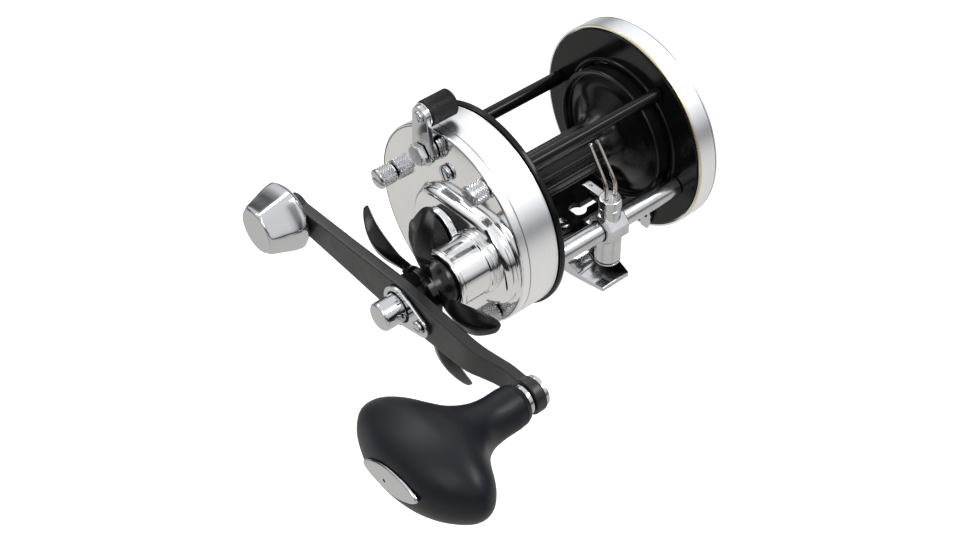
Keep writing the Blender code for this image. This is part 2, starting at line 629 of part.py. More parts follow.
def grip_section(x, long_half, short_half, lift, count=24):
    """An oval section whose long side is tilted a little from the arm's direction, above the pin's axis."""
    points = []
    for i in range(count):
        angle = 2 * math.pi * i / count
        along = long_half * math.copysign(abs(math.cos(angle)) ** 0.92, math.cos(angle))
        across = short_half * math.copysign(abs(math.sin(angle)) ** 0.92, math.sin(angle))
        y = along * math.cos(GRIP_TILT) - across * math.sin(GRIP_TILT)
        z = along * math.sin(GRIP_TILT) + across * math.cos(GRIP_TILT)
        points.append((x, y + 0.3 * lift, z + lift))
    return points


GRIP_ROWS = ((71.2, 5.0, 5.0, 0.0), (71.9, 5.5, 5.5, 0.0), (75.5, 6.0, 6.0, 0.0), (80.5, 5.9, 6.1, 0.0),
             (84.5, 6.4, 6.7, 0.3), (88.0, 8.3, 7.4, 0.7), (91.0, 11.3, 8.4, 1.1), (94.0, 15.6, 10.0, 1.55),
             (97.5, 21.2, 12.0, 1.9), (101.3, 24.8, 13.2, 2.0), (105.2, 25.0, 12.9, 2.0),
             (109.0, 21.0, 11.3, 2.0), (112.2, 14.8, 8.8, 2.0), (113.8, 10.6, 5.6, 2.0))


def slot_outline(half_length, half_width, angle):
    """A rectangle across the end of a screw or pin, turned by the angle."""
    corners = ((half_length, half_width), (-half_length, half_width),
               (-half_length, -half_width), (half_length, -half_width))
    return [(y * math.cos(angle) - z * math.sin(angle), y * math.sin(angle) + z * math.cos(angle))
            for y, z in corners]


def build_grip():
    centre = (GRIP_Y, GRIP_Z)
    body = finish("power_grip", stack([grip_section(*row) for row in GRIP_ROWS]), "black_rubber", centre)
    cut(body, rod("grip_pin_bore", 68.0, 101.0, 2.4, centre=centre, segments=16))
    badge = stack([grip_section(114.1, 10.8, 4.9, 2.0, 20), grip_section(114.8, 10.0, 4.2, 2.0, 20)])
    finish("grip_badge", badge, "chrome", centre)
    washer("grip_ferrule", 69.5, 70.9, 4.4, 2.3, "chrome", centre)
    pin = turned("grip_pin", [(64.4, 3.9), (64.7, 4.5), (65.8, 4.5), (65.8, 2.0), (100.0, 2.0)],
                 "steel", centre, 24)
    cut(pin, prism("grip_pin_slot", slot_outline(6.0, 0.65, math.radians(54)), 62.0, 65.1, "steel", centre))


def blade_section(reach, angle, half_width, x):
    """A flat-diamond section across a star blade."""
    out = Vector((0.0, math.cos(angle), math.sin(angle)))
    side = Vector((0.0, -math.sin(angle), math.cos(angle)))
    ahead = Vector((1.0, 0.0, 0.0))
    at = out * reach + ahead * x
    ridge = 0.4 + 0.24 * half_width
    return [at - side * half_width - ahead * 0.35, at - ahead * ridge, at + side * half_width - ahead * 0.35,
            at + side * half_width + ahead * 0.15, at + ahead * ridge, at - side * half_width + ahead * 0.15]


BLADE_ROWS = ((5.0, 2.0, 62.6), (9.0, 2.3, 63.7), (14.0, 3.4, 65.2), (18.5, 4.3, 65.7), (23.0, 4.1, 65.1),
              (27.0, 3.1, 63.7), (29.6, 2.0, 62.5), (30.6, 0.9, 62.0))
STAR_FIRST = math.radians(87)


def build_star_drag():
    hub = turned("star_drag", [(51.8, 5.2), (51.8, 7.3), (59.2, 7.3), (60.8, 6.4), (65.3, 5.6)],
                 "black_satin", SHAFT, 28)
    for i in range(5):
        angle = STAR_FIRST + 2 * math.pi * i / 5
        sections = [blade_section(reach, angle, half, x) for reach, half, x in BLADE_ROWS]
        join(hub, finish(f"star_blade_form_{i}", stack(sections), "black_satin", SHAFT))
    cut(hub, rod("star_bore", 48.0, 68.0, 2.8, centre=SHAFT, segments=18))


# Controls

def build_control_cap():
    count = 28
    outlines = []
    for x, radius, rib in ((46.9, 6.5, 0.0), (47.1, 6.6, 0.2), (51.2, 6.6, 0.2), (51.8, 6.2, 0.0),
                           (52.6, 4.8, 0.0), (52.9, 2.4, 0.0)):
        ring = []
        for i in range(count):
            angle = 2 * math.pi * i / count
            reach = radius + (rib if i % 2 else -rib)
            ring.append((x, reach * math.cos(angle), reach * math.sin(angle)))
        outlines.append(ring)
    cap = finish("cast_control_cap", stack(outlines), "moulded_black")
    cut(cap, rod("cap_bore", 44.0, 50.4, 4.6, segments=18))


def build_free_spool_lever():
    pivot = (LEVER_Y, LEVER_Z)
    offset = (ROLLER_Y - LEVER_Y, ROLLER_Z - LEVER_Z)
    plate = prism("free_spool_lever", two_circle_hull((0, 0), 4.3, offset, 3.3, 12), 43.0, 44.6,
                  "chrome", pivot)
    rivet = turned("roller_rivet_form", [(33.0, 1.1), (44.0, 1.1), (44.0, 1.9), (45.2, 1.9), (45.5, 1.4)],
                   "chrome", (ROLLER_Y, ROLLER_Z), 16)
    collar = turned("lever_collar_form", [(38.6, 2.2), (41.6, 2.2), (41.6, 4.0), (43.4, 4.0)], "chrome",
                    pivot, 20)
    cam = prism("clutch_cam_form", two_circle_hull((0, 0), 2.9, (0, -3.2), 1.6, 8), 38.5, 39.4, "steel",
                pivot)
    join(plate, rivet, collar, cam)
    prism("lever_pivot_nut", circle(3.5, 6), 44.9, 47.0, "steel", pivot)
    ridges = 20
    sections = []
    for x, radius, rib in ((33.4, 3.5, 0.0), (33.9, 3.9, 0.12), (42.2, 3.9, 0.12), (42.7, 3.5, 0.0)):
        ring = []
        for i in range(ridges):
            angle = 2 * math.pi * i / ridges
            reach = radius + (rib if i % 2 else -rib)
            ring.append((x, reach * math.cos(angle), reach * math.sin(angle)))
        sections.append(ring)
    roller = finish("lever_roller", stack(sections), "moulded_black", (ROLLER_Y, ROLLER_Z))
    cut(roller, rod("roller_bore", 30.0, 45.0, 1.4, centre=(ROLLER_Y, ROLLER_Z)))


def build_thumb_screws():
    for name, at in THUMB_SCREWS.items():
        screw = turned(name, [(36.4, 1.4), (41.6, 1.4), (41.6, 2.6), (42.1, 3.2), (47.0, 3.2), (47.6, 2.7)],
                       "steel", at, 20)
        cut(screw, box(name + "_slot", (46.7, -4.0, -0.5), (49.0, 4.0, 0.5), "steel", at))


def build_dog():
    """The anti-reverse dog on its stud, its nose just clear of the ratchet teeth."""
    shape = two_circle_hull((0, 0), 1.7, (-4.4, 4.1), 0.7, 8)
    dog = prism("anti_reverse_dog", shape, 38.2, 39.3, "steel", DOG_PIVOT)
    cut(dog, rod("dog_bore", 36.0, 41.0, 0.9, centre=DOG_PIVOT, segments=12))


def build_clicker():
    knob = box("clicker_button", (-38.6, -22.6, -3.2), (-36.7, -18.4, 3.2), "moulded_black")
    stem = box("clicker_stem_form", (-37.0, -21.6, -1.0), (-33.2, -19.4, 1.0), "moulded_black")
    join(knob, stem)
    tongue = box("click_tongue", (-32.9, -21.6, -1.0), (-27.95, -19.4, 1.0), "steel")
    blade = box("click_blade_form", (-28.35, -20.0, -0.7), (-27.95, -12.2, 0.7), "steel")
    join(tongue, blade)


def build():
    clear_scene()
    build_rings()
    build_left_cup()
    build_left_hub()
    build_gear_cover()
    build_pillars()
    build_foot()
    build_clamp_ear()
    build_level_wind_tube()
    build_bridge_plate()
    build_cover_screw()
    build_spool()
    build_gears()
    build_yoke()
    build_worm()
    build_carriage()
    build_guide_wires()
    build_handle_arm()
    build_handle_shaft()
    build_counterweight()
    build_grip()
    build_star_drag()
    build_control_cap()
    build_free_spool_lever()
    build_thumb_screws()
    build_dog()
    build_clicker()


build()
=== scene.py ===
import json
from math import acos, atan2, copysign, cos, hypot, pi, radians, remainder, sin, sqrt

import bmesh
import bpy
from mathutils import Matrix, Vector


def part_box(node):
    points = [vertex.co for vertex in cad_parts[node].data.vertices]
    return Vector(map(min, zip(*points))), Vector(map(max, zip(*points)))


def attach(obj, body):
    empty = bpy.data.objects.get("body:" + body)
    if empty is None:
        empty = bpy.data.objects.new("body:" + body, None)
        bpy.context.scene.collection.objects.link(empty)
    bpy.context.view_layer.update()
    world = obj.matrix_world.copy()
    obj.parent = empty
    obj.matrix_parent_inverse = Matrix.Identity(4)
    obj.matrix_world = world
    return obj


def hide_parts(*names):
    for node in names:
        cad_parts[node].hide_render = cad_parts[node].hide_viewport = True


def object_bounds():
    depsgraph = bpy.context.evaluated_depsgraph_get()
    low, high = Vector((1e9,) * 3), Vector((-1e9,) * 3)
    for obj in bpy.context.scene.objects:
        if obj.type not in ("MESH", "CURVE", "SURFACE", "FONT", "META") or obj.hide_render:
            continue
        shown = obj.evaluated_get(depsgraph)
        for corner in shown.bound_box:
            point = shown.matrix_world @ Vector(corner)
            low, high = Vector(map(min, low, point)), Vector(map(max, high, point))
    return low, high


# Looks for a round-plate trolling reel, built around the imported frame.
# Shapes are drawn in millimetres around their own axis and placed from the frame's own boxes.
# The drawing frame is the spool's axis and the plane midway between the plates: X points to the
# handle, +Y forward, +Z up.

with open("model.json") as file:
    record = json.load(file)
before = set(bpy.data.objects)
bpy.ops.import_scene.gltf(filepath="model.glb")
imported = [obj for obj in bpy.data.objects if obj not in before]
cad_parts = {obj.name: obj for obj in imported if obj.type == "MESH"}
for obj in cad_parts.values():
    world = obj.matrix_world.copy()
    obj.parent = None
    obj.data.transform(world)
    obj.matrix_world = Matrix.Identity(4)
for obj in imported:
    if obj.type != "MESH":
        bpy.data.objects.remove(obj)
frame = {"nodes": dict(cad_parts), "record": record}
CAD_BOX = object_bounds()
MM = 0.001


def extent(node):
    """((x0, x1), (y0, y1), (z0, z1)) of a CAD node in the drawing frame, in millimetres."""
    low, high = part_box(node)
    shift = (0.0, 0.0, AXIS_HEIGHT)
    return [((low[i] - shift[i]) / MM, (high[i] - shift[i]) / MM) for i in range(3)]


def round_extent(node):
    """x0, x1 and the radius of a CAD node that is round about X."""
    (x0, x1), _, (z0, z1) = extent(node)
    return x0, x1, (z1 - z0) / 2


def axis_of(node):
    """The (y, z) middle of a CAD node, for pieces that are round about X."""
    _, ys, zs = extent(node)
    return (sum(ys) / 2, sum(zs) / 2)


AXIS_HEIGHT = sum(corner.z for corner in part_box("spool")) / 2
SPOOL_AXIS = (0.0, 0.0)
SHAFT = axis_of("handle_shaft")
WORM = axis_of("level_wind_tube")
GRIP = axis_of("grip_ferrule")
KNOB = axis_of("counterweight_rivet")
ROLLER = axis_of("lever_roller")
LEVER = axis_of("lever_pivot_nut")
GUIDE_X = sum(extent("pawl_cap")[0]) / 2

THUMB_SCREWS = ("thumb_screw_rear", "thumb_screw_front", "thumb_screw_lower")
FOOT_RIVETS = ("foot_rivet_front", "foot_rivet_rear")

ROUND = 128                    # sides of the large turned pieces
SMALL_ROUND = 64               # sides of the small ones

SLOT_OF = {row["node"]: row["material_slot"] for row in frame["record"]["subparts"]}
BODY_OF = {node: body for body, nodes in frame["record"]["behaviour"]["bodies"].items() for node in nodes}


# Materials

class Nodes:
    """A node tree, and short ways to add nodes to it."""

    def __init__(self, tree):
        self.tree = tree

    def node(self, kind, **inputs):
        made = self.tree.nodes.new(kind)
        for key, value in inputs.items():
            self.feed(made.inputs[key.replace("_", " ")], value)
        return made

    def feed(self, target, value):
        if isinstance(value, bpy.types.NodeSocket):
            self.tree.links.new(value, target)
        else:
            target.default_value = value

    def math(self, operation, *values):
        made = self.tree.nodes.new("ShaderNodeMath")
        made.operation = operation
        for target, value in zip(made.inputs, values):
            self.feed(target, value)
        return made.outputs[0]

    def spread(self, value, low, high, out_low, out_high, curve="LINEAR"):
        """Map low..high to out_low..out_high."""
        made = self.tree.nodes.new("ShaderNodeMapRange")
        made.interpolation_type = curve
        self.feed(made.inputs["Value"], value)
        for key, number in (("From Min", low), ("From Max", high), ("To Min", out_low), ("To Max", out_high)):
            made.inputs[key].default_value = number
        return made.outputs["Result"]


class Look(Nodes):
    """One procedural material: a Principled shader and the nodes that feed it."""

    def __init__(self, name, colour, roughness, metallic, shine=0.5):
        self.material = bpy.data.materials.new(name)
        self.material.use_nodes = True
        super().__init__(self.material.node_tree)
        self.shader = self.tree.nodes["Principled BSDF"]
        self.shader.inputs["Base Color"].default_value = (*colour, 1.0)
        self.shader.inputs["Roughness"].default_value = roughness
        self.shader.inputs["Metallic"].default_value = metallic
        self.shader.inputs["Specular IOR Level"].default_value = shine
        self.material.diffuse_color = (*colour, 1.0)
        self.colour = colour
        self.roughness = roughness

    def place(self):
        return self.node("ShaderNodeTexCoord").outputs["Object"]

    def stretched(self, x, y, z):
        mapping = self.node("ShaderNodeMapping", Vector=self.place())
        mapping.inputs["Scale"].default_value = (x / MM, y / MM, z / MM)
        return mapping.outputs["Vector"]

    def lathe_place(self, along, across):
        """Coordinates that are the same all round X, so that noise draws turning marks."""
        split = self.node("ShaderNodeSeparateXYZ", Vector=self.place())
        y2 = self.math("MULTIPLY", split.outputs["Y"], split.outputs["Y"])
        z2 = self.math("MULTIPLY", split.outputs["Z"], split.outputs["Z"])
        radius = self.math("SQRT", self.math("ADD", y2, z2))
        made = self.tree.nodes.new("ShaderNodeCombineXYZ")
        self.feed(made.inputs["X"], self.math("MULTIPLY", split.outputs["X"], along / MM))
        self.feed(made.inputs["Y"], self.math("MULTIPLY", radius, across / MM))
        return made.outputs["Vector"]

    def noise(self, place, detail=3.0):
        return self.node("ShaderNodeTexNoise", Vector=place, Scale=1.0, Detail=detail).outputs["Fac"]

    def grain(self, scale, detail=3.0):
        """Noise that is alike in all directions; scale is in cells per millimetre."""
        return self.noise(self.stretched(scale, scale, scale), detail)

    def turning_marks(self, along, across, detail=3.0):
        return self.noise(self.lathe_place(along, across), detail)

    def ranged(self, value, low, high):
        """Map the noise's usual span to low..high."""
        return self.spread(value, 0.3, 0.7, low, high)

    def vary_roughness(self, value, by):
        self.feed(self.shader.inputs["Roughness"],
                  self.ranged(value, self.roughness - by, self.roughness + by))

    def vary_colour(self, value, low, high):
        mix = self.tree.nodes.new("ShaderNodeMix")
        mix.data_type = "RGBA"
        self.feed(mix.inputs[0], self.ranged(value, 0.0, 1.0))
        mix.inputs[6].default_value = (*[c * low for c in self.colour], 1.0)
        mix.inputs[7].default_value = (*[min(1.0, c * high) for c in self.colour], 1.0)
        self.feed(self.shader.inputs["Base Color"], mix.outputs[2])

    def bump(self, height, strength, distance=0.05):
        made = self.node("ShaderNodeBump", Height=height, Strength=strength, Distance=distance * MM)
        self.feed(self.shader.inputs["Normal"], made.outputs["Normal"])


def chrome():
    look = Look("bright_chrome", (0.59, 0.60, 0.615), 0.08, 1.0)
    smears = look.grain(0.16, 4.0)
    look.vary_roughness(smears, 0.025)
    look.vary_colour(look.grain(0.05), 0.96, 1.02)
    look.bump(look.grain(1.4, 2.0), 0.03, 0.02)
    return look


def satin_chrome():
    look = Look("satin_chrome", (0.60, 0.61, 0.625), 0.19, 1.0)
    marks = look.noise(look.stretched(0.5, 4.0, 4.0), 4.0)
    look.vary_roughness(marks, 0.05)
    look.vary_colour(look.grain(0.2), 0.88, 1.06)
    look.bump(marks, 0.06, 0.02)
    return look


def polished_cover():
    look = Look("polished_cover", (0.83, 0.83, 0.83), 0.10, 1.0)
    look.vary_roughness(look.turning_marks(2.0, 5.0, 4.0), 0.03)
    look.vary_colour(look.grain(0.07), 0.96, 1.02)
    look.bump(look.turning_marks(3.0, 9.0, 2.0), 0.05, 0.01)
    return look


def satin_silver():
    look = Look("satin_silver", (0.95, 0.96, 0.975), 0.30, 1.0)
    marks = look.turning_marks(9.0, 9.0, 5.0)
    look.vary_roughness(marks, 0.05)
    look.vary_colour(look.turning_marks(1.2, 1.2), 0.97, 1.02)
    look.bump(marks, 0.05, 0.01)
    return look


def thin_line(name, colour, roughness, by):
    look = Look(name, colour, roughness, 1.0)
    look.vary_roughness(look.grain(2.0), by)
    return look


def black_gloss():
    look = Look("black_gloss", (0.003, 0.003, 0.0034), 0.13, 0.0, 0.22)
    look.vary_roughness(look.grain(0.11, 4.0), 0.05)
    look.vary_colour(look.grain(2.2), 0.7, 1.5)
    look.bump(look.grain(0.9), 0.03, 0.02)
    return look


def black_paint(name, colour, roughness, shine, shade, peel, depth):
    """Satin paint with smears in its gloss and an orange peel of the given grain and depth."""
    look = Look(name, colour, roughness, 0.0, shine)
    look.vary_roughness(look.grain(0.3, 4.0), 0.06)
    look.vary_colour(look.grain(1.8), 1.0 - shade, 1.0 + shade)
    look.bump(look.grain(peel, 2.0), depth, 0.02)
    return look


def soft_grip():
    look = Look("soft_touch_rubber", (0.0035, 0.0050, 0.0085), 0.42, 0.0, 0.27)
    grain = look.grain(5.5)
    look.vary_roughness(look.grain(0.09, 4.0), 0.05)
    look.vary_colour(grain, 0.8, 1.25)
    look.bump(grain, 0.18, 0.02)
    return look


def moulded_black():
    look = Look("moulded_black", (0.006, 0.006, 0.007), 0.42, 0.0, 0.35)
    grain = look.grain(3.2)
    look.vary_roughness(grain, 0.08)
    look.vary_colour(grain, 0.75, 1.3)
    look.bump(grain, 0.15, 0.02)
    return look


def turned_metal(name, colour, roughness, marks, tone, shades):
    """Metal with turning marks round X and a colour that wanders slightly."""
    look = Look(name, colour, roughness, 1.0)
    fine = look.turning_marks(*marks, 5.0)
    look.vary_roughness(fine, 0.07)
    look.vary_colour(look.grain(*tone), *shades)
    look.bump(fine, 0.10, 0.01)
    return look


def wire_steel():
    look = Look("drawn_wire", (0.52, 0.46, 0.41), 0.24, 1.0)
    drawn = look.noise(look.stretched(3.5, 3.5, 0.25), 4.0)
    look.vary_roughness(drawn, 0.07)
    look.vary_colour(drawn, 0.8, 1.15)
    return look


def drag_fibre():
    look = Look("woven_drag_fibre", (0.13, 0.10, 0.075), 0.8, 0.0)
    warp = look.node("ShaderNodeTexWave", Vector=look.stretched(0.0, 1.6, 0.0), Scale=1.0, Distortion=0.6)
    weft = look.node("ShaderNodeTexWave", Vector=look.stretched(0.0, 0.0, 1.6), Scale=1.0, Distortion=0.6)
    weft.bands_direction = "Z"
    weave = look.math("MULTIPLY", warp.outputs["Fac"], weft.outputs["Fac"])
    look.vary_colour(weave, 0.7, 1.4)
    look.bump(weave, 0.4, 0.05)
    return look


def black_spool():
    look = Look("black_spool", (0.003, 0.003, 0.0034), 0.22, 0.0, 0.3)
    marks = look.turning_marks(4.0, 4.0, 4.0)
    look.vary_roughness(marks, 0.06)
    look.vary_colour(marks, 0.8, 1.3)
    look.bump(marks, 0.08, 0.01)
    return look


# Under the names of the record's material slots, and a few more for single pieces.
LOOKS = {
    "chrome_plate": chrome(),
    "satin_chrome": satin_chrome(),
    "cover": polished_cover(),
    "silver_anodised": satin_silver(),
    "gold": thin_line("gold_joint_line", (0.80, 0.66, 0.36), 0.3, 0.06),
    # groove: a darker metal painted into fine grooves as painted shade
    "groove": thin_line("groove_shadow", (0.30, 0.31, 0.33), 0.4, 0.08),
    "black_anodised": black_gloss(),
    "black_coated_metal": black_paint("black_satin_paint", (0.012, 0.012, 0.0125), 0.34, 0.4, 0.15, 2.6,
                                      0.10),
    "black_star": black_paint("black_star_paint", (0.004, 0.004, 0.0045), 0.22, 0.38, 0.2, 1.6, 0.08),
    "soft_grip": soft_grip(),
    "moulded_black": moulded_black(),
    "steel": turned_metal("turned_steel", (0.60, 0.605, 0.62), 0.22, (6.0, 9.0), (0.8, 4.0), (0.88, 1.06)),
    "wire": wire_steel(),
    "brass": turned_metal("machined_brass", (0.74, 0.54, 0.23), 0.24, (5.0, 8.0), (0.5, 5.0), (0.86, 1.08)),
    "drag_fibre": drag_fibre(),
    "spool": black_spool(),
}


# Mesh building. A shape is a bmesh drawn in millimetres around its own axis.

def fillet(points, size, closed, steps=4):
    """Round each corner of a polyline. A point's third number is its own corner size."""
    made = []
    count = len(points)
    for i, point in enumerate(points):
        corner = Vector(point[:2])
        reach = point[2] if len(point) > 2 else size
        if reach == 0 or (not closed and i in (0, count - 1)):
            made.append(tuple(corner))
            continue
        before = Vector(points[i - 1][:2]) - corner
        after = Vector(points[(i + 1) % count][:2]) - corner
        cut_back = min(reach, before.length * 0.45, after.length * 0.45)
        start = corner + before.normalized() * cut_back
        end = corner + after.normalized() * cut_back
        for k in range(steps + 1):
            t = k / steps
            made.append(tuple(start * (1 - t) ** 2 + corner * 2 * t * (1 - t) + end * t * t))
    return made


def circle(radius, count, turn=0.0):
    steps = [turn + 2 * pi * i / count for i in range(count)]
    return [(radius * cos(a), radius * sin(a)) for a in steps]


def at_x(x, outline):
    """A (y, z) outline as 3-D points at x."""
    return [(x, y, z) for y, z in outline]


def bridge(mesh, first, second, closed=True):
    """Faces between two loops of vertices; a loop of one vertex makes a fan."""
    count = max(len(first), len(second))
    for i in range(count if closed else count - 1):
        j = (i + 1) % count
        if len(first) == 1:
            mesh.faces.new((first[0], second[i], second[j]))
        elif len(second) == 1:
            mesh.faces.new((first[i], second[0], first[j]))
        else:
            mesh.faces.new((first[i], second[i], second[j], first[j]))


def ring(mesh, x, radius, count):
    if radius <= 0:
        return [mesh.verts.new((x, 0, 0))]
    return [mesh.verts.new(point) for point in at_x(x, circle(radius, count))]


def turned(profile, size=0.25, count=SMALL_ROUND, bored=False):
    """Spin (x, radius) points about X. A solid's ends are closed to the axis; a bored one's profile
    goes once round its section."""
    mesh = bmesh.new()
    if bored:
        points = fillet(profile, size, True)
    else:
        ends = [(profile[0][0], 0.0)] + list(profile) + [(profile[-1][0], 0.0)]
        points = fillet(ends, size, False)
    rings = [ring(mesh, x, radius, count) for x, radius in points]
    for first, second in zip(rings, rings[1:]):
        bridge(mesh, first, second)
    if bored:
        bridge(mesh, rings[-1], rings[0])
    return mesh


def loft(sections):
    """Skin equal-length loops of 3-D points and cap both ends."""
    mesh = bmesh.new()
    loops = [[mesh.verts.new(point) for point in section] for section in sections]
    for first, second in zip(loops, loops[1:]):
        bridge(mesh, first, second)
    mesh.faces.new(loops[0])
    mesh.faces.new(list(reversed(loops[-1])))
    return mesh


def slab(outline, x0, x1, edge=0.25, steps=3):
    """A plate along X whose outline is drawn in (y, z), with rounded edges."""
    centre = Vector((sum(p[0] for p in outline), sum(p[1] for p in outline))) / len(outline)

    def section(x, inset):
        points = []
        for i, point in enumerate(outline):
            before = Vector(outline[i - 1])
            after = Vector(outline[(i + 1) % len(outline)])
            along = (after - before).normalized()
            inward = Vector((-along.y, along.x))
            if inward.dot(centre - Vector(point)) < 0:
                inward.negate()
            moved = Vector(point) + inward * inset
            points.append((x, moved.x, moved.y))
        return points

    turns = [pi / 2 * k / steps for k in range(steps + 1)]
    sections = [section(x0 + edge * (1 - cos(a)), edge * (1 - sin(a))) for a in turns]
    sections += [section(x1 - edge * (1 - sin(a)), edge * (1 - cos(a))) for a in turns]
    return loft(sections)


def block(low, high):
    outline = [(low[1], low[2]), (high[1], low[2]), (high[1], high[2]), (low[1], high[2])]
    return loft([at_x(x, outline) for x in (low[0], high[0])])


def upright(profile, size=0.0, count=48):
    """Spin (z, radius) points about Z."""
    mesh = turned(profile, size, count)
    bmesh.ops.rotate(mesh, matrix=Matrix.Rotation(radians(-90), 3, "Y"), verts=mesh.verts)
    return mesh


def belt(first, r1, second, r2, count):
    """Outline of a belt around two circles."""
    span = Vector(second) - Vector(first)
    heading = atan2(span.y, span.x)
    lean = acos((r1 - r2) / span.length)
    points = []
    for i in range(count + 1):
        a = heading + lean + (2 * pi - 2 * lean) * i / count
        points.append((first[0] + r1 * cos(a), first[1] + r1 * sin(a)))
    for i in range(count + 1):
        a = heading - lean + 2 * lean * i / count
        points.append((second[0] + r2 * cos(a), second[1] + r2 * sin(a)))
    return points


def around(outline, count):
    """Where evenly spread rays from the origin cross a closed outline."""
    made = []
    edges = list(zip(outline, outline[1:] + outline[:1]))
    for i in range(count):
        a = 2 * pi * i / count
        c, s = cos(a), sin(a)
        for (y0, z0), (y1, z1) in edges:
            before, after = z0 * c - y0 * s, z1 * c - y1 * s
            if before * after <= 0 and before != after:
                t = before / (before - after)
                reach = (y0 + (y1 - y0) * t) * c + (z0 + (z1 - z0) * t) * s
                if reach > 0:
                    made.append((reach * c, reach * s))
                    break
    return made


def smooth_rows(rows, per):
    """Catmull-Rom rows between the given ones."""
    made = []
    last = len(rows) - 1
    for i in range(last):
        p0, p1, p2, p3 = rows[max(i - 1, 0)], rows[i], rows[i + 1], rows[min(i + 2, last)]
        for k in range(per):
            t = k / per
            made.append(tuple(0.5 * (2 * b + (c - a) * t + (2 * a - 5 * b + 4 * c - d) * t * t
                                     + (3 * b - a - 3 * c + d) * t ** 3)
                              for a, b, c, d in zip(p0, p1, p2, p3)))
    made.append(tuple(rows[-1]))
    return made


def solid_object(mesh, centre=SPOOL_AXIS, x=0.0):
    """An object at (x, centre) of the drawing frame from a shape in millimetres around that point."""
    bmesh.ops.recalc_face_normals(mesh, faces=mesh.faces)
    bmesh.ops.scale(mesh, vec=(MM, MM, MM), verts=mesh.verts)
    data = bpy.data.meshes.new("shape")
    mesh.to_mesh(data)
    mesh.free()
    made = bpy.data.objects.new("shape", data)
    made.location = (x * MM, centre[0] * MM, centre[1] * MM + AXIS_HEIGHT)
    bpy.context.scene.collection.objects.link(made)
    return made


def combined(target, operation, others):
    """Apply Booleans at once and drop the shapes they used."""
    bpy.context.view_layer.update()
    for other in others:
        step = target.modifiers.new(operation, "BOOLEAN")
        step.operation = operation
        step.solver = "EXACT"
        step.object = other
    bpy.context.view_layer.update()
    seen = target.evaluated_get(bpy.context.evaluated_depsgraph_get())
    data = bpy.data.meshes.new_from_object(seen)
    target.modifiers.clear()
    target.data = data
    for other in others:
        bpy.data.objects.remove(other, do_unlink=True)
    return target


def joined(target, *others):
    return combined(target, "UNION", others)


def cut(target, *others):
    return combined(target, "DIFFERENCE", others)


def rod(x0, x1, radius, centre=SPOOL_AXIS, count=48, x=0.0):
    return solid_object(turned([(x0, radius), (x1, radius)], 0, count), centre, x)


def slot_tool(x0, x1, reach, half, centre=SPOOL_AXIS, turn=0.0):
    """A block that cuts a screwdriver slot, turned about X by some degrees."""
    made = solid_object(block((x0, -reach, -half), (x1, reach, half)), centre)
    made.rotation_euler.x = radians(turn)
    return made


def hexagon(radius, x0, x1, edge, chamfer, centre):
    """A hexagon bar along X, cut back to the round profile chamfer."""
    made = solid_object(slab(circle(radius, 6), x0, x1, edge), centre)
    return combined(made, "INTERSECT", [solid_object(turned(chamfer, 0), centre)])


def finish(target, node, look=None, sharp=30, extra=(), bevel=0.0):
    """Let a piece stand for a CAD node, with that node's body and look, unless another look is named."""
    target.name = node + "_skin"
    data = target.data
    data.name = target.name
    data.materials.clear()
    for name in (look or SLOT_OF[node], *extra):
        data.materials.append(LOOKS[name].material)
    if bevel:
        edge = target.modifiers.new("soft_edges", "BEVEL")
        edge.width = bevel * MM
        edge.segments = 2
        edge.limit_method = "ANGLE"
        edge.angle_limit = radians(35)
    data.shade_smooth()
    data.set_sharp_from_angle(angle=radians(sharp))
    shading = target.modifiers.new("even_shading", "WEIGHTED_NORMAL")
    shading.keep_sharp = True
    shading.weight = 60
    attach(target, BODY_OF[node])
    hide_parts(node)


def paint(target, index, chosen):
    """Give material number index to the faces whose middle's x and radius, in mm, pass the test chosen."""
    for face in target.data.polygons:
        middle = face.center / MM
        if chosen(middle.x, hypot(middle.y, middle.z)):
            face.material_index = index


# Side plates and frame

def build_rings():
    (x0, x1), _, (_, top) = extent("left_frame_ring")
    bore = extent("spool")[2][1] + 0.6
    shape = turned([(x1, bore), (x1 + 0.5, bore, 0.2), (x1 + 0.5, bore + 1.0, 0.3), (x1, bore + 1.3, 0.2),
                    (x1, top, 0.35), (x0, top, 0.1), (x0, bore, 0.1)], count=ROUND, bored=True)
    finish(solid_object(shape), "left_frame_ring")
    (x0, x1), _, (_, top) = extent("right_frame_ring")
    plate = solid_object(turned([(x0, bore, 0.1), (x0, top, 0.35), (x1, top, 0.35), (x1, bore, 0.1)],
                                count=ROUND, bored=True))
    cut(plate, rod(x0 - 2, x1 + 2, 2.6, WORM))
    finish(plate, "right_frame_ring")


